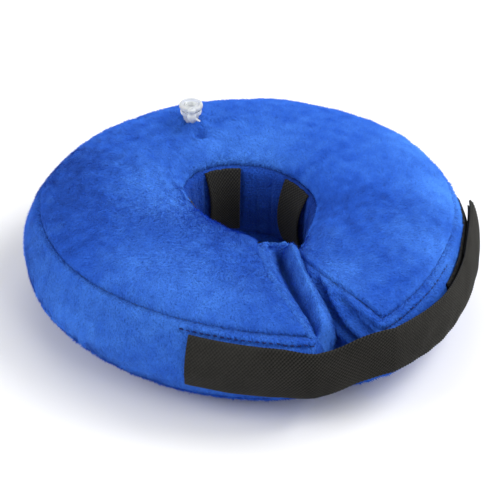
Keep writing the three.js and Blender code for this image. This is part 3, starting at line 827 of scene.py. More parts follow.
def tape_material(name, dark, light):
    shade = Shade(name, {"Roughness": 0.95, "Specular IOR Level": 0.2})
    inputs = {"Vector": shade.place, "Scale": PILE_LOOPS}
    pile = shade.node("ShaderNodeTexVoronoi", inputs).outputs["Distance"]
    shade.colour(shade.mix(shade.levels(pile, 0.1, 0.7), light, dark))
    shade.bump(pile, 0.0006)
    return shade.material


def clear_material(name):
    """Soft clear plastic: slightly milky, glossy, with faint ripples."""
    sockets = {"Roughness": 0.12, "IOR": 1.46, "Transmission Weight": 0.5}
    shade = Shade(name, {**sockets, "Base Color": (0.86, 0.89, 0.9, 1)})
    cloud = shade.levels(shade.noise(240, 2), 0.3, 0.7)
    shade.colour(shade.mix(cloud, (0.84, 0.87, 0.88, 1), (0.93, 0.95, 0.95, 1)))
    shade.bump(shade.noise(160, 1), 0.0004, 0.4)
    return shade.material


def thread_material(name, dark, light):
    shade = Shade(name, {"Roughness": 0.7, "Specular IOR Level": 0.3})
    twist = shade.noise(1500, 1)
    shade.colour(shade.mix(shade.levels(twist, 0.3, 0.7), dark, light))
    shade.bump(twist, 0.0002)
    return shade.material


def floor_material():
    shade = Shade("Pale floor", {"Roughness": 0.9, "Specular IOR Level": 0.1})
    shade.colour(shade.mix(shade.noise(3), (0.86, 0.86, 0.86, 1), (0.9, 0.9, 0.9, 1)))
    return shade.material


# Geometry Nodes


class Grower:
    """A geometry tree with named inputs for its sizes, which ends in real geometry with its material."""

    def __init__(self, name, sizes, **others):
        self.tree = bpy.data.node_groups.new(name, "GeometryNodeTree")
        kinds = {**dict.fromkeys(sizes, "NodeSocketFloat"), **others, "Finish": "NodeSocketMaterial"}
        for way in ("INPUT", "OUTPUT"):
            self.tree.interface.new_socket("Geometry", in_out=way, socket_type="NodeSocketGeometry")
        for label, kind in kinds.items():
            self.tree.interface.new_socket(label, in_out="INPUT", socket_type=kind)
        self.inputs = self.tree.nodes.new("NodeGroupInput").outputs

    def node(self, kind, output, inputs=None, **settings):
        """Adds a node and gives one of its outputs."""
        return add_node(self.tree, kind, inputs, **settings).outputs[output]

    def attribute(self, name, kind):
        return self.node("GeometryNodeInputNamedAttribute", "Attribute", {"Name": name}, data_type=kind)

    def sized(self, mesh, x, y, z):
        scale = self.node("ShaderNodeCombineXYZ", "Vector", {"X": x, "Y": y, "Z": z})
        return self.node("GeometryNodeTransform", "Geometry", {"Geometry": mesh, "Scale": scale})

    def finish(self, inputs):
        """Lays the instances, makes them real and gives them their material."""
        laid = self.node("GeometryNodeInstanceOnPoints", "Instances", inputs)
        real = self.node("GeometryNodeRealizeInstances", "Geometry", {"Geometry": laid})
        dressing = {"Geometry": real, "Material": self.inputs["Finish"]}
        done = self.node("GeometryNodeSetMaterial", "Geometry", dressing)
        add_node(self.tree, "NodeGroupOutput", {"Geometry": done})
        return self.tree


def run_tree(carrier, tree, values):
    """Runs a tree on an object, and leaves its result as the object's plain mesh."""
    modifier = carrier.modifiers.new(tree.name, "NODES")
    modifier.node_group = tree
    for item in tree.interface.items_tree:
        if item.item_type == "SOCKET" and item.in_out == "INPUT" and item.name in values:
            modifier[item.identifier] = values[item.name]
    depsgraph = bpy.context.evaluated_depsgraph_get()
    made = bpy.data.meshes.new_from_object(carrier.evaluated_get(depsgraph), depsgraph=depsgraph)
    carrier.modifiers.remove(modifier)
    old = carrier.data
    carrier.data = made
    bpy.data.meshes.remove(old)


def nap_tree():
    """Scatters narrow blades of pile over a cloth, each lying along its brushing."""
    sizes = ("Density", "Length", "Width", "Stray", "Unevenness")
    grow = Grower("Plush pile", sizes, Seed="NodeSocketInt")
    given, node = grow.inputs, grow.node
    growth = grow.attribute("growth", "FLOAT")
    density = node("ShaderNodeMath", 0, {0: growth, 1: given["Density"]}, operation="MULTIPLY")
    cloth = {"Mesh": given["Geometry"], "Density": density, "Seed": given["Seed"]}
    roots = add_node(grow.tree, "GeometryNodeDistributePointsOnFaces", cloth).outputs
    reach = {"Min": (-1, -1, -1), "Max": (1, 1, 1), "Seed": given["Seed"]}
    stray = node("FunctionNodeRandomValue", "Value", reach, data_type="FLOAT_VECTOR")
    strayed = {0: stray, "Scale": given["Stray"]}
    strayed = node("ShaderNodeVectorMath", "Vector", strayed, operation="SCALE")
    lay = grow.attribute("lay", "FLOAT_VECTOR")
    heading = node("ShaderNodeVectorMath", "Vector", {0: lay, 1: strayed}, operation="ADD")
    along = node("FunctionNodeAlignRotationToVector", "Rotation", {"Vector": heading}, axis="X")
    upright = {"Rotation": along, "Vector": roots["Normal"]}
    facing = node("FunctionNodeAlignRotationToVector", "Rotation", upright, axis="Z", pivot_axis="X")
    blade = node("GeometryNodeMeshCircle", "Mesh", {"Vertices": 3, "Radius": 1.0}, fill_type="NGON")
    rooted = node("GeometryNodeTransform", "Geometry", {"Geometry": blade, "Translation": (0.5, 0, 0)})
    shortest = node("ShaderNodeMath", 0, {0: 1.0, 1: given["Unevenness"]}, operation="SUBTRACT")
    scale = node("FunctionNodeRandomValue", 1, {2: shortest, 3: 1.0, "Seed": 7}, data_type="FLOAT")
    sized = grow.sized(rooted, given["Length"], given["Width"], 1.0)
    places = {"Points": roots["Points"], "Rotation": facing, "Scale": scale}
    return grow.finish({**places, "Instance": sized})


def stitch_tree():
    """Lays short stitches end to end along a path."""
    sew = Grower("Stitches", ("Spacing", "Length", "Thickness"))
    given = sew.inputs
    path = sew.node("GeometryNodeMeshToCurve", "Curve", {"Mesh": given["Geometry"]})
    stops = {"Curve": path, "Length": given["Spacing"]}
    points = add_node(sew.tree, "GeometryNodeCurveToPoints", stops, mode="LENGTH").outputs
    bead = sew.node("GeometryNodeMeshUVSphere", "Mesh", {"Segments": 6, "Rings": 5, "Radius": 0.5})
    stitch = sew.sized(bead, given["Thickness"], given["Thickness"], given["Length"])
    return sew.finish({"Points": points["Points"], "Instance": stitch, "Rotation": points["Rotation"]})


# Pile

NAP_LIFT = 0.32
NAP_UNEVENNESS = 0.45
NAP_SEED = 3
BRUSH_DOWN = 0.5
BRUSH_TURN = 0.5

# How the pile's way turns from place to place: angle in radians, size in millimetres, and seed
BRUSH_TURNS = ((0.4, 70, 21), (0.12, 24, 22), (0.35, 7, 23))


def brushing(points, normals):
    """The way that the pile lies: mostly down and outwards, turned here and there by handling."""
    outward = unit(points * np.array([1.0, 1.0, 0.0]))
    round_about = np.cross(UP, outward)
    turn = uneven(points, BRUSH_TURNS) + BRUSH_TURN
    flow = outward * np.cos(turn)[..., None] + round_about * np.sin(turn)[..., None] - UP * BRUSH_DOWN
    flat = unit(flow - normals * np.sum(flow * normals, -1, keepdims=True))
    return unit(flat + normals * NAP_LIFT)


# Painted shade: the whole side strip's plush is drawn a little darker
SIDE_PAINTED_SHADE = -0.05
# Painted shade: the neck wall's plush is drawn much darker, towards the deep colour, as the shade in the
# hole
NECK_PAINTED_SHADE = -0.8
LEFT_WALL_PAINTED_LIGHT = 0.3  # painted light: how much lighter the plush is drawn on the slit's left wall than on the band
# Painted shade: the slit's right wall is drawn a little darker
RIGHT_WALL_PAINTED_SHADE = -0.05
CREST_PAINTED_HIGHLIGHT = 0.35  # painted highlight: how much lighter again the plush is drawn along the roll's crest than on the walls
CREST_HIGHLIGHT_ROW = 0.68  # the painted highlight's row: the crest's place on the left wall, from foot to head
CREST_HIGHLIGHT_WIDTH = 0.09
BAND_PAINTED_LIGHT = 0.4  # painted light: how much lighter the band's plush is drawn round an azimuth than elsewhere
BAND_LIGHT_TURN = 195
BAND_LIGHT_SPREAD = 32

# Smaller unevenness of the pile's tone: share, size in millimetres, and seed
PATCHES = ((0.03, 34, 31), (0.08, 9, 32))

# Patches of painted light and sheen on the top panel, and of painted shade where the share is negative:
# place between the two slit ends and between neck and rim, radius in millimetres, and share
PAINTED_LIGHT_PATCHES = table(
    "way across radius share",
    (0.69, 0.34, 21, 0.8),
    (0.77, 0.3, 15, 0.5),
    (0.42, 0.18, 17, 0.6),
    (0.51, 0.18, 16, 0.5),
    (0.89, 0.8, 23, 0.55),
    (0.83, 0.78, 16, 0.35),
    (0.95, 0.78, 17, 0.4),
    (0.18, 0.93, 19, 0.9),
    (0.26, 0.93, 19, 0.7),
    (0.1, 0.93, 15, 0.5),
    (0.015, 0.62, 11, 0.6),
    (0.1, 0.72, 15, 0.3),
    (0.15, 0.35, 22, -0.3),
    (0.7, 0.68, 24, -0.35),
    (0.79, 0.84, 18, -0.25),
    (0.975, 0.62, 11, -0.2),
)


def random_tone_and_painted_light(points):
    """How much lighter the plush is drawn: random uneven tone, plus the patches of painted light and
    shade.
    """
    middles = top_point(PAINTED_LIGHT_PATCHES["way"], PAINTED_LIGHT_PATCHES["across"])
    total = uneven(points, PATCHES)
    # Each patch paints light and sheen, and painted shade where its share is negative
    for middle, radius, share in zip(middles, PAINTED_LIGHT_PATCHES["radius"], PAINTED_LIGHT_PATCHES["share"]):
        away = np.linalg.norm(points - middle, axis=-1)
        total = total + share * bell(away / radius)
    return total


def side_painted_light_and_shade(points):
    """Painted light and shade on the side strip: a little darker all over, lighter on the slit's left
    wall and lighter again as a highlight on the roll's crest, lighter on the band round one azimuth, and
    a little darker on the right wall.
    """
    column = np.arange(len(points))
    inside = np.minimum(column, len(points) - 1 - column) < END_COLUMNS
    place = np.clip((len(points) - 1 - column) / END_COLUMNS, 0, 1)
    share = np.linspace(0, 1, points.shape[1])[None]
    # The painted highlight along the roll's crest on the left wall
    crest = bell((share - CREST_HIGHLIGHT_ROW) / CREST_HIGHLIGHT_WIDTH) * (column > len(points) - END_COLUMNS)[:, None]
    crest = crest * (smoothstep(place, 0.08, 0.2) * (1 - smoothstep(place, 0.85, 1)))[:, None]
    # Painted light on the slit's left wall, painted shade on its right wall
    wall = np.where(column > len(points) / 2, LEFT_WALL_PAINTED_LIGHT, RIGHT_WALL_PAINTED_SHADE) * inside
    turn = np.degrees(np.arctan2(points[..., 1], points[..., 0])) % 360
    # Painted light on the band round one azimuth
    band = BAND_PAINTED_LIGHT * bell((turn - BAND_LIGHT_TURN) / BAND_LIGHT_SPREAD) * ~inside[:, None]
    return SIDE_PAINTED_SHADE + wall[:, None] + CREST_PAINTED_HIGHLIGHT * crest + band


def make_nap(name, points, fields, count, tree, pile, material):
    """The pile of one cloth, as loose blades, each with a place of its own in a UV map."""
    quads = grid_quads(*points.shape[:2])
    carrier = make_object(name, points.reshape(-1, 3), quads, [material])
    for field, values in fields.items():
        kind = "FLOAT" if values.ndim == 2 else "FLOAT_VECTOR"
        add_attribute(carrier.data, field, kind, values)
    area = sum(face.area for face in carrier.data.polygons)
    values = {
        "Density": count / area,
        "Length": pile.length / 1.5,
        "Width": pile.width / math.sqrt(3),
        "Stray": pile.stray,
        "Unevenness": NAP_UNEVENNESS,
        "Seed": NAP_SEED,
        "Finish": material,
    }
    run_tree(carrier, tree, values)
    press_flat(carrier.data)
    spread_map(carrier.data)
    return carrier


def press_flat(mesh):
    """The floor presses down the pile that would reach below it."""
    places = np.empty(len(mesh.vertices) * 3, dtype=np.float32)
    mesh.vertices.foreach_get("co", places)
    places[2::3] = np.maximum(places[2::3], 0)
    mesh.vertices.foreach_set("co", places)


def spread_map(mesh):
    """Gives each loose triangle a cell of its own in a new UV map."""
    while mesh.uv_layers:
        mesh.uv_layers.remove(mesh.uv_layers[0])
    count = len(mesh.polygons)
    side = math.ceil(math.sqrt(count))
    cell = np.arange(count)
    corner = np.stack([cell % side, cell // side], -1)[:, None] / side
    shape = np.array([[0.12, 0.12], [0.88, 0.12], [0.5, 0.88]]) / side
    layer = mesh.uv_layers.new(name="OFBake")
    layer.data.foreach_set("uv", (corner + shape[None]).astype(np.float32).ravel())


CLOTH_SHARE = 0.8  # the cloth's share of the wall that the solids have
INNER_LIFT = 0.2

# The cover's four sheets: the solid that each stands for, the side that its grid faces, how full it is,
# the painted light and shade on its plush (negative for shade), and how many blades of pile it has
Sheet = namedtuple("Sheet", "name node make facing fill tone blades")
SHEETS = (
    Sheet("top", "top_panel", top_sheet, -1, 0.9, 0.0, 170000),
    Sheet("base", "bottom_panel", base_sheet, 1, 0.9, 0.0, 50000),
    Sheet("side", "side_strip", side_sheet, 1, 0.85, side_painted_light_and_shade, 150000),
    Sheet("neck", "neck_strip", neck_sheet, 1, 0.7, NECK_PAINTED_SHADE, 26000),
)


def clear_of_stem(points):
    """Which of a sheet's faces are kept round the hole for the valve's stem."""
    middle = (points[:-1, :-1] + points[1:, 1:]) / 2 - VALVE_SEAT
    return np.hypot(middle[..., 0], middle[..., 1]) > STEM_RADIUS - SEAM_GAP


def make_sheet(sheet, ground):
    """One sheet of the cover as a closed wall, and the grids that its pile grows from."""
    points, growth = sheet.make()
    normals = grid_normals(points) * sheet.facing
    inner = points - normals * COVER_WALL * CLOTH_SHARE
    inner[..., 2] = np.maximum(inner[..., 2], points[..., 2].min() + INNER_LIFT)
    keep = None
    if sheet.facing < 0:
        keep = clear_of_stem(points)[:, ::-1]
        points, inner, normals, growth = (grid[:, ::-1] for grid in (points, inner, normals, growth))
    # The sheet's painted light and shade, added to random tone and the painted patches
    tone = sheet.tone(points) if callable(sheet.tone) else sheet.tone
    tone_and_painted_light = random_tone_and_painted_light(points) + tone
    shell = make_shell(f"plush_{sheet.name}", points, inner, ground, keep, {"tone_and_painted_light": tone_and_painted_light})
    return shell, points, {"lay": brushing(points, normals), "tone_and_painted_light": tone_and_painted_light, "growth": growth}


# Webbing and tapes

TAPE_WIDTH = STRAP_WIDTH - 2 * TAPE_MARGIN
STRAP_COLUMNS = 520
STRAP_WEAVE_ROWS = 56
WEAVE_PERIOD = 4
WEAVE_RISE = 0.4
LOOP_WEAVE_RISE = 0.13
SEWN_WEAVE = 0.45  # how much of the weave shows where the strap is sewn down, up to the azimuths given
SEWN_END = (-114, -98)
TAPE_COLUMNS = 2.2  # in each degree of a tape's run
TAPE_ROWS = 24
LOOP_COLUMNS = 44
LOOP_ROWS = 80

# Unevenness of the strap's face: height, size and seed
STRAP_LUMPS = ((0.12, 14, 41),)


def band_foot(azimuth, height):
    """A point of the band and its outward normal, straight from end to end over the slit."""
    share = np.clip((height - BOTTOM_SEAM) / (TOP_SEAM - BOTTOM_SEAM), 0, 1)
    one = np.ones_like(azimuth)
    left = azimuth_of(one, one) - 360
    right = azimuth_of(one * 0, one)
    way = way_of(azimuth, one)
    point = band_point(way, share)
    normal = plan_normal(way, one)
    crossed = np.clip((azimuth - left) / (right - left), 0, 1)[..., None]
    over_slit = ((azimuth > left) & (azimuth < right))[..., None]
    straight = lerp(band_point(one, share), band_point(one * 0, share), crossed)
    turned = unit(lerp(plan_normal(one, one), plan_normal(one * 0, one), crossed))
    point = np.where(over_slit, straight, point)
    point[..., 2] = height
    return point, np.where(over_slit, turned, normal)


def strap_rows(azimuth, up, width, offset, follow=True):
    """A face of a tape on the band: its points, and the way out from the band."""
    run = {name: table_value(STRAP_RUN, name, azimuth) for name in ("height", "standoff", "hug", "lift")}
    middle = BOTTOM_SEAM + run["height"] * (TOP_SEAM - BOTTOM_SEAM) + STRAP_WIDTH / 2
    height = middle + (up - 0.5) * width
    point, normal = band_foot(azimuth, height)
    if follow:
        proudest, _ = band_foot(azimuth, np.minimum(height, (TOP_SEAM + BOTTOM_SEAM) / 2))
        proudest[..., 2] = height
        point = lerp(proudest, point, run["hug"][..., None])
        offset = offset + run["standoff"] * STRAP_WIDTH
    return point + normal * np.broadcast_to(offset, azimuth.shape)[..., None], normal


def rounded(up, width, thickness):
    """How far a tape's face draws back towards its middle near the long edges."""
    edge = np.minimum(up, 1 - up) * width
    return thickness / 2 * (1 - np.sqrt(np.clip(edge / (thickness * 0.6), 0.02, 1)))


def weave(columns, rows, period):
    """Threads over and under each other, as a share of their rise, at each point of a grid."""
    along, up = np.meshgrid(np.arange(columns), np.arange(rows), indexing="ij")
    turn = 2 * math.pi / period
    return np.cos(turn * along) * np.cos(turn * up)


def strap_offset(azimuth):
    """How far the strap's inner face is from the band: it rises over the two tapes."""
    return SEAT_GAP + table_value(STRAP_RUN, "lift", azimuth) * 2 * (TAPE_THICKNESS + SEAM_GAP)


def make_strap(material):
    """The strap with its weave, sewn down at the left and lying over the slit and the tapes."""
    azimuth = np.linspace(STRAP_START, STRAP_END, STRAP_COLUMNS + 1)
    azimuth, up = np.meshgrid(azimuth, np.linspace(0, 1, STRAP_WEAVE_ROWS + 1), indexing="ij")
    offset = strap_offset(azimuth)
    inner, normal = strap_rows(azimuth, up, STRAP_WIDTH, offset)
    outer, _ = strap_rows(azimuth, up, STRAP_WIDTH, offset + STRAP_THICKNESS)
    draw = rounded(up, STRAP_WIDTH, STRAP_THICKNESS)
    threads = weave(*azimuth.shape, WEAVE_PERIOD) * lerp(SEWN_WEAVE, 1, smoothstep(azimuth, *SEWN_END))
    relief = WEAVE_RISE * threads + uneven(outer, STRAP_LUMPS)
    outer = outer + normal * (relief - draw)[..., None]
    inner = inner + normal * draw[..., None]
    # The thread values also paint a highlight on the raised threads and shade between them
    return make_shell("strap_webbing", outer, inner, material, layers={"thread": threads})


def make_tape(name, start, end, follow, material):
    """A closing tape, which follows the strap's inner face or lies flat on the band."""
    azimuth = np.linspace(start, end, int((end - start) * TAPE_COLUMNS))
    azimuth, up = np.meshgrid(azimuth, np.linspace(0, 1, TAPE_ROWS + 1), indexing="ij")
    under_strap = strap_offset(azimuth) - TAPE_THICKNESS - SEAM_GAP
    offset = under_strap if follow else np.full_like(azimuth, SEAT_GAP)
    inner, normal = strap_rows(azimuth, up, TAPE_WIDTH, offset, follow)
    outer, _ = strap_rows(azimuth, up, TAPE_WIDTH, offset + TAPE_THICKNESS, follow)
    draw = rounded(up, TAPE_WIDTH, TAPE_THICKNESS)[..., None]
    return make_shell(name, outer - normal * draw, inner + normal * draw, material)


def make_neck_loop(name, azimuth, material):
    """An upright loop, sewn to the neck wall at its foot and head and bowed out between them."""
    way_middle = way_of(np.array(float(azimuth)), np.array(0.0))
    radius = NECK_RADIUS * station("neck", way_middle)
    half = LOOP_WIDTH / 2 / radius / math.radians(360 - gap_angle(0.0))
    along = np.linspace(0, 1, LOOP_COLUMNS + 1)
    along, up = np.meshgrid(along, np.linspace(0, 1, LOOP_ROWS + 1), indexing="ij")
    place = way_middle + (2 * along - 1) * half
    foot = neck_point(place, lerp(LOOP_FOOT, LOOP_HEAD, up))
    inward = -plan_normal(place, np.zeros_like(place))
    draw = rounded(along, LOOP_WIDTH, LOOP_THICKNESS)
    stand = SEAT_GAP + LOOP_STANDOFF * arch(up)
    threads = weave(*along.shape, WEAVE_PERIOD)
    back = foot + inward * (stand + draw)[..., None]
    front = foot + inward * (stand + LOOP_THICKNESS - draw + LOOP_WEAVE_RISE * threads)[..., None]
    # The thread values also paint a highlight on the raised threads and shade between them
    return make_shell(name, back, front, material, layers={"thread": threads})


# Valve and bladder

BLADDER_SLACK = 3.0  # how far the bladder's skin is drawn in from the solid's


def lathe(profile, sides=48):
    """A solid turned about the valve's axis from a profile of (radius, height)."""
    profile = np.array(profile, float)
    turn = np.arange(sides) * 2 * math.pi / sides
    ring = np.stack([np.cos(turn), np.sin(turn)], -1)
    flat = ring[:, None] * profile[None, :, :1]
    height = np.broadcast_to(profile[None, :, 1:], (sides, len(profile), 1))
    points = np.concatenate([flat, height], -1).reshape(-1, 3)
    count = len(profile)
    column, row = np.meshgrid(np.arange(sides), np.arange(count), indexing="ij")
    next_column = (column + 1) % sides
    next_row = (row + 1) % count
    corners = ((column, row), (next_column, row), (next_column, next_row), (column, next_row))
    return points, np.stack([a * count + b for a, b in corners], -1).reshape(-1, 4)


def smooth_profile(corners):
    """Rounds the corners of a closed profile by cutting them twice."""
    points = np.array(corners, float)
    for _ in range(2):
        after = np.roll(points, -1, axis=0)
        points = np.stack([lerp(points, after, 0.22), lerp(points, after, 0.78)], 1).reshape(-1, 2)
    return points


def recalculate(made):
    """Turns every face outwards."""
    work = bmesh.new()
    work.from_mesh(made.data)
    bmesh.ops.remove_doubles(work, verts=work.verts, dist=1e-6)
    bmesh.ops.recalc_face_normals(work, faces=work.faces)
    work.to_mesh(made.data)
    work.free()
    made.data.shade_smooth()
    return made


def make_valve_body(material):
    """The stem, its wide head with a dished mouth, and the bore."""
    top = STEM_RISE + HEAD_THICKNESS
    corners = [
        (STEM_BORE, -3),
        (STEM_RADIUS, -3),
        (STEM_RADIUS, STEM_RISE - 1.2),
        (HEAD_RADIUS - 0.8, STEM_RISE),
        (HEAD_RADIUS, STEM_RISE + 0.5),
        (HEAD_RADIUS, top - 0.6),
        (HEAD_RADIUS - 0.8, top),
        (HEAD_RADIUS - 1.7, top),
        (HEAD_RADIUS - 2.1, top - 0.7),
        (STEM_BORE + 1.0, top - 0.7),
        (STEM_BORE + 0.7, top - 0.2),
        (STEM_BORE, top - 0.5),
    ]
    points, faces = lathe(smooth_profile(corners))
    return recalculate(make_object("valve_body", points + VALVE_SEAT, faces, [material]))


def make_bladder(material):
    """The air bladder: the frame's own form, drawn in so that it stays under the cover's dents."""
    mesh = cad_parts["bladder"].data.copy()
    made = bpy.data.objects.new("bladder_skin", mesh)
    bpy.context.scene.collection.objects.link(made)
    mesh.materials.clear()
    mesh.materials.append(material)
    work = bmesh.new()
    work.from_mesh(mesh)
    bmesh.ops.remove_doubles(work, verts=work.verts, dist=1e-5)
    work.normal_update()
    middle = (RIM_RADIUS + NECK_RADIUS) / 2 * MM
    for vertex in work.verts:
        place = vertex.co - Vector(SHIFT * MM)
        flat = Vector((place.x, place.y, 0))
        core = flat.normalized() * middle + UPWARD * (TOP_SEAM + BOTTOM_SEAM) / 2 * MM
        vertex.co += (core - place).normalized() * BLADDER_SLACK * MM
    work.to_mesh(mesh)
    work.free()
    mesh.shade_smooth()
    return made


def turned_to_plug(points):
    """Points turned about the valve's axis, from the X axis to the side that the plug hangs on."""
    cos, sin = math.cos(math.radians(PLUG_AZIMUTH)), math.sin(math.radians(PLUG_AZIMUTH))
    x, y, z = points.T
    return np.stack([x * cos - y * sin, x * sin + y * cos, z], -1)


def join_parts(parts):
    points, faces, start = [], [], 0
    for part_points, part_faces in parts:
        points.append(part_points)
        faces.append(part_faces + start)
        start += len(part_points)
    return np.concatenate(points), np.concatenate(faces)


def tube(path, width, thickness, sides):
    """A flat strap of plastic along a path, closed at both ends."""
    path = np.array(path, float)
    tangent = unit(np.gradient(path, axis=0))
    side = unit(np.cross(tangent, UP))
    over = np.cross(side, tangent)
    turn = np.arange(sides) * 2 * math.pi / sides
    points = (
        path[:, None]
        + side[:, None] * (np.cos(turn) * width / 2)[None, :, None]
        + over[:, None] * (np.sin(turn) * thickness / 2)[None, :, None]
    )
    points = np.concatenate([path[:1, None].repeat(sides, 1), points, path[-1:, None].repeat(sides, 1)])
    count = len(points)
    ring, spoke = np.meshgrid(np.arange(count - 1), np.arange(sides), indexing="ij")
    following = (spoke + 1) % sides
    corners = ((ring, spoke), (ring, following), (ring + 1, following), (ring + 1, spoke))
    return points.reshape(-1, 3), np.stack([a * sides + b for a, b in corners], -1).reshape(-1, 4)


def make_valve_cap(material):
    """The plug beside the head, held by a ring round the stem and a thin bent arm."""
    inner = STEM_RADIUS + SEAT_GAP
    ring_outer = inner + TETHER_THICKNESS
    ring_top = STEM_RISE - SEAM_GAP - 0.6
    ring_corners = [
        (inner, ring_top - TETHER_WIDTH),
        (ring_outer, ring_top - TETHER_WIDTH),
        (ring_outer, ring_top),
        (inner, ring_top),
    ]
    ring = lathe(smooth_profile(ring_corners))
    offset = HEAD_RADIUS + SEAT_GAP + PLUG_RADIUS
    foot = STEM_RISE - PLUG_LENGTH * PLUG_HANG
    outline = [
        (0.02, foot),
        (PLUG_RADIUS * 0.8, foot + 0.2),
        (PLUG_RADIUS, foot + 1.4),
        (PLUG_RADIUS, foot + 3.0),
        (PLUG_RADIUS * 0.72, foot + 3.9),
        (PLUG_RADIUS * 0.7, foot + 4.8),
        (PLUG_RADIUS * 0.95, foot + 5.4),
        (PLUG_RADIUS * 0.9, foot + PLUG_LENGTH),
        (0.02, foot + PLUG_LENGTH),
    ]
    plug_points, plug_faces = lathe(smooth_profile(outline), 32)
    plug_points = plug_points + np.array([offset, 0, 0])
    reach = ring_outer - TETHER_THICKNESS / 2
    share = np.linspace(0, 1, 17)
    bow = np.sin(math.pi * share)
    path = np.stack(
        [
            lerp(reach, offset, share),
            lerp(0, PLUG_RADIUS * 0.5, share) + bow * PLUG_RADIUS * 1.3,
            lerp(ring_top - TETHER_WIDTH / 2, foot + 1.2, share) - bow * 2.2,
        ],
        -1,
    )
    arm = tube(path, TETHER_WIDTH * 0.8, TETHER_THICKNESS * 0.9, 12)
    points, faces = join_parts([ring, (plug_points, plug_faces), arm])
    return recalculate(make_object("valve_cap", turned_to_plug(points) + VALVE_SEAT, faces, [material]))


# Stage

FLOOR_REACH = 3000
FLOOR_DROP = -0.05
WORLD_LIGHT = 0.4

# Soft lights: azimuth and elevation in degrees, distance and size in metres, and power in watts
LIGHTS = (
    ("key", 82, 47, 1.5, 0.9, 16.5),
    ("left", -100, 24, 1.6, 1.0, 15),
    ("back", 165, 55, 1.6, 1.0, 4.5),
    ("front", 25, 45, 1.6, 1.1, 10),
)


def around(azimuth, elevation, distance):
    """A place round the collar. Azimuth 0 is in front of the slit and 90 to its right."""
    flat = math.cos(elevation) * distance
    return Vector((math.sin(azimuth) * flat, -math.cos(azimuth) * flat, math.sin(elevation) * distance))


def make_light(name, azimuth, elevation, distance, size, power):
    """A square soft light that points at the collar."""
    light = bpy.data.lights.new(name, "AREA")
    light.shape = "SQUARE"
    light.size = size
    light.energy = power
    lamp = bpy.data.objects.new(name, light)
    lamp.location = around(math.radians(azimuth), math.radians(elevation), distance)
    lamp.rotation_euler = (-lamp.location).to_track_quat("-Z", "Y").to_euler()
    return lamp


# Settings


def size_property(name, description, default, low, high):
    limits = {"default": default, "min": low, "max": high}
    kind = {"subtype": "DISTANCE", "unit": "LENGTH"}
    return bpy.props.FloatProperty(name=name, description=description, **limits, **kind)


def share_property(name, description, default, low, high):
    limits = {"default": default, "min": low, "max": high}
    return bpy.props.FloatProperty(name=name, description=description, **limits)


def angle_property(name, description, degrees):
    turn = math.radians(degrees)
    return bpy.props.FloatProperty(name=name, description=description, default=turn, subtype="ANGLE")


def colour_property(name, description, default):
    limits = {"default": default, "min": 0, "max": 1, "size": 3}
    return bpy.props.FloatVectorProperty(name=name, description=description, subtype="COLOR", **limits)


class PileSettings(bpy.types.PropertyGroup):
    length: size_property("Pile length", "Length of a blade of the plush pile", 0.0019, 0.0005, 0.005)
    width: size_property("Blade width", "Width of a blade of pile at its root", 0.00042, 0.0001, 0.001)
    stray: share_property("Stray", "How much the blades stray from their brushing", 0.4, 0, 2)
    # Painted shade draws the plush towards the deep colour, and painted light and highlights towards the
    # light one
    deep: colour_property("Deep colour", "Colour between the blades", (0.006, 0.03, 0.26))
    body: colour_property("Body colour", "Colour of most of the plush", (0.028, 0.13, 0.66))
    light: colour_property("Light colour", "Colour of plush that is brushed up", (0.09, 0.31, 0.95))


class WebbingSettings(bpy.types.PropertyGroup):
    # The weave paints a highlight towards the light colour on raised threads, and shade towards the dark
    # one between them
    dark: colour_property("Dark colour", "Colour between the threads", (0.0035, 0.0035, 0.003))
    light: colour_property("Light colour", "Colour of the raised threads", (0.05, 0.048, 0.043))
    fibres: share_property("Fibres", "Fibres that show in each metre of webbing", 1100, 100, 5000)


class StitchSettings(bpy.types.PropertyGroup):
    spacing: size_property("Spacing", "Distance from stitch to stitch", 0.003, 0.001, 0.01)
    length: size_property("Length", "Length of a stitch that shows", 0.0022, 0.0005, 0.01)
    thickness: size_property("Thickness", "Thickness of the thread", 0.0008, 0.0002, 0.002)
    colour: colour_property("Thread colour", "Colour of the thread", (0.004, 0.02, 0.16))


class StageSettings(bpy.types.PropertyGroup):
    distance: size_property("Camera distance", "Distance of the camera from the collar", 0.965, 0.2, 5)
    azimuth: angle_property("Azimuth", "Camera's turn round the collar", -24)
    elevation: angle_property("Elevation", "Camera's height above the floor", 35.46)
    roll: angle_property("Roll", "Camera's roll about its view", 1.06)
    aim: size_property("Aim", "Height above the floor that the camera looks at", 0.024, 0, 1)
    lens: bpy.props.FloatProperty(
        name="Lens", description="Focal length", default=139.9, min=10, unit="CAMERA"
    )


SETTINGS = (
    ("collar_pile", PileSettings),
    ("collar_webbing", WebbingSettings),
    ("collar_stitches", StitchSettings),
    ("collar_stage", StageSettings),
)


def settings(name):
    return getattr(bpy.context.scene, name)


# Pieces


def settle(made, node):
    """Says what a piece rides on, and hides the solid that it stands for."""
    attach(made, "root")
    if node:
        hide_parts(node)
    return made


def with_alpha(colour):
    return (*colour, 1.0)


class COLLAR_OT_cover(bpy.types.Operator):
    """Sew the cover's panels and strips, with their pile"""

    bl_idname = "collar.cover"
    bl_label = "Cover"

    def execute(self, context):
        pile = settings("collar_pile")
        colours = [with_alpha(colour) for colour in (pile.deep, pile.body, pile.light)]
        ground = plush_material("Plush ground", *colours, strands=False)
        strands = plush_material("Plush pile", *colours, strands=True)
        tree = nap_tree()
        for sheet in SHEETS:
            shell, points, fields = make_sheet(sheet, ground)
            settle(shell, sheet.node)
            nap = make_nap(f"nap_{sheet.name}", points, fields, sheet.blades, tree, pile, strands)
            settle(nap, None)
        return {"FINISHED"}


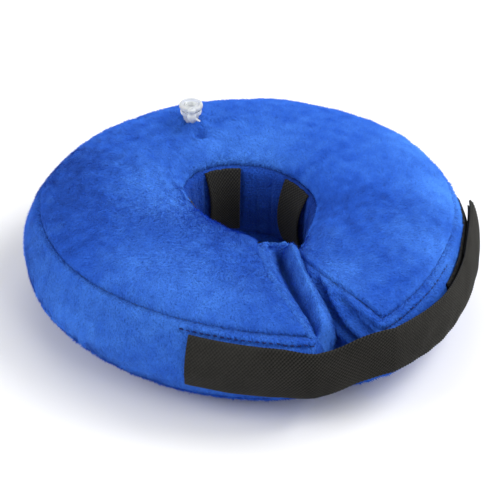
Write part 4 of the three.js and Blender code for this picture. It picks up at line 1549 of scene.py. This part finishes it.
class COLLAR_OT_topstitch(bpy.types.Operator):
    """Sew the row of topstitching on both sides of the slit"""

    bl_idname = "collar.topstitch"
    bl_label = "Topstitching"

    def execute(self, context):
        sewing = settings("collar_stitches")
        thread = thread_material("Blue thread", (0.002, 0.008, 0.07, 1), with_alpha(sewing.colour))
        lines = stitch_lines()
        points = np.concatenate(lines)
        mesh = bpy.data.meshes.new("seam_stitches")
        edges = [(i, i + 1) for i in range(len(points) - 1) if i != len(lines[0]) - 1]
        mesh.from_pydata(((points + SHIFT) * MM).tolist(), edges, [])
        stitches = bpy.data.objects.new("seam_stitches", mesh)
        bpy.context.scene.collection.objects.link(stitches)
        values = {
            "Spacing": sewing.spacing,
            "Length": sewing.length,
            "Thickness": sewing.thickness,
            "Finish": thread,
        }
        run_tree(stitches, stitch_tree(), values)
        stitches.data.shade_smooth()
        settle(stitches, None)
        return {"FINISHED"}


class COLLAR_OT_webbing(bpy.types.Operator):
    """Lay the strap over the slit and the three loops in the neck"""

    bl_idname = "collar.webbing"
    bl_label = "Webbing"

    def execute(self, context):
        webbing = settings("collar_webbing")
        colours = with_alpha(webbing.dark), with_alpha(webbing.light)
        material = webbing_material("Black webbing", *colours, webbing.fibres)
        settle(make_strap(material), "strap")
        for name, azimuth in NECK_LOOPS.items():
            settle(make_neck_loop(name, azimuth, material), f"neck_{name}")
        return {"FINISHED"}


class COLLAR_OT_tapes(bpy.types.Operator):
    """Add the hook tape under the strap's end and the loop tape on the band"""

    bl_idname = "collar.tapes"
    bl_label = "Closing tapes"

    def execute(self, context):
        material = tape_material("Closing tape", (0.006, 0.006, 0.007, 1), (0.03, 0.03, 0.032, 1))
        per_degree = math.radians(RIM_RADIUS + BAND_BULGE)
        hook_start = STRAP_END - HOOK_LENGTH / per_degree
        loop_start = STRAP_END - LOOP_TAPE_LENGTH / per_degree
        loop_end = STRAP_END + LOOP_WIDTH / 4 / per_degree
        hook = make_tape("hook_patch", hook_start, STRAP_END - 1, True, material)
        loop = make_tape("loop_patch", loop_start, loop_end, False, material)
        settle(hook, "hook_tape")
        settle(loop, "loop_tape")
        return {"FINISHED"}


class COLLAR_OT_valve(bpy.types.Operator):
    """Turn the valve's stem and head, and hang its plug beside it"""

    bl_idname = "collar.valve"
    bl_label = "Air valve"

    def execute(self, context):
        material = clear_material("Clear soft plastic")
        settle(make_valve_body(material), "valve_stem")
        settle(make_valve_cap(material), "valve_plug")
        settle(make_bladder(material), "bladder")
        return {"FINISHED"}


class COLLAR_OT_stage(bpy.types.Operator):
    """Set the pale floor, the soft lights and the camera"""

    bl_idname = "collar.stage"
    bl_label = "Stage"

    def execute(self, context):
        scene = context.scene
        stage = settings("collar_stage")
        sides = (-FLOOR_REACH, FLOOR_REACH)
        corners = np.array([(x, y, FLOOR_DROP) for x in sides for y in sides])
        floor = make_object("floor", corners - SHIFT, np.array([[0, 2, 3, 1]]), [floor_material()])
        world = bpy.data.worlds.new("Studio")
        world.use_nodes = True
        background = world.node_tree.nodes["Background"].inputs
        background["Color"].default_value = (1, 1, 1, 1)
        background["Strength"].default_value = WORLD_LIGHT
        scene.world = world
        for row in LIGHTS:
            scene.collection.objects.link(make_light(*row))
        data = bpy.data.cameras.new("camera")
        data.lens = stage.lens
        data.clip_end = 20
        camera = bpy.data.objects.new("camera", data)
        foot = Vector(SHIFT * MM)
        camera.location = foot + around(stage.azimuth, stage.elevation, stage.distance)
        facing = (foot + UPWARD * stage.aim - camera.location).to_track_quat("-Z", "Y").to_euler()
        camera.rotation_euler = facing
        camera.rotation_euler.rotate_axis("Z", stage.roll)
        scene.collection.objects.link(camera)
        scene.camera = camera
        scene.view_settings.view_transform = "Standard"
        return {"FINISHED"}


class COLLAR_PT_panel(bpy.types.Panel):
    bl_label = "Recovery Collar"
    bl_idname = "COLLAR_PT_panel"
    bl_space_type = "VIEW_3D"
    bl_region_type = "UI"
    bl_category = "Collar"

    def draw(self, context):
        for operator in OPERATORS:
            self.layout.operator(operator.bl_idname)
        for name, group in SETTINGS:
            box = self.layout.box()
            for setting in group.__annotations__:
                box.prop(getattr(context.scene, name), setting)


OPERATORS = (
    COLLAR_OT_cover,
    COLLAR_OT_topstitch,
    COLLAR_OT_webbing,
    COLLAR_OT_tapes,
    COLLAR_OT_valve,
    COLLAR_OT_stage,
)


def register():
    for name, group in SETTINGS:
        bpy.utils.register_class(group)
        setattr(bpy.types.Scene, name, bpy.props.PointerProperty(type=group))
    for shown in (*OPERATORS, COLLAR_PT_panel):
        bpy.utils.register_class(shown)


def unregister():
    for shown in reversed((*OPERATORS, COLLAR_PT_panel)):
        bpy.utils.unregister_class(shown)
    for name, group in reversed(SETTINGS):
        delattr(bpy.types.Scene, name)
        bpy.utils.unregister_class(group)


def main():
    register()
    bpy.ops.collar.cover()
    bpy.ops.collar.topstitch()
    bpy.ops.collar.webbing()
    bpy.ops.collar.tapes()
    bpy.ops.collar.valve()
    bpy.ops.collar.stage()


if __name__ == "__main__":
    main()
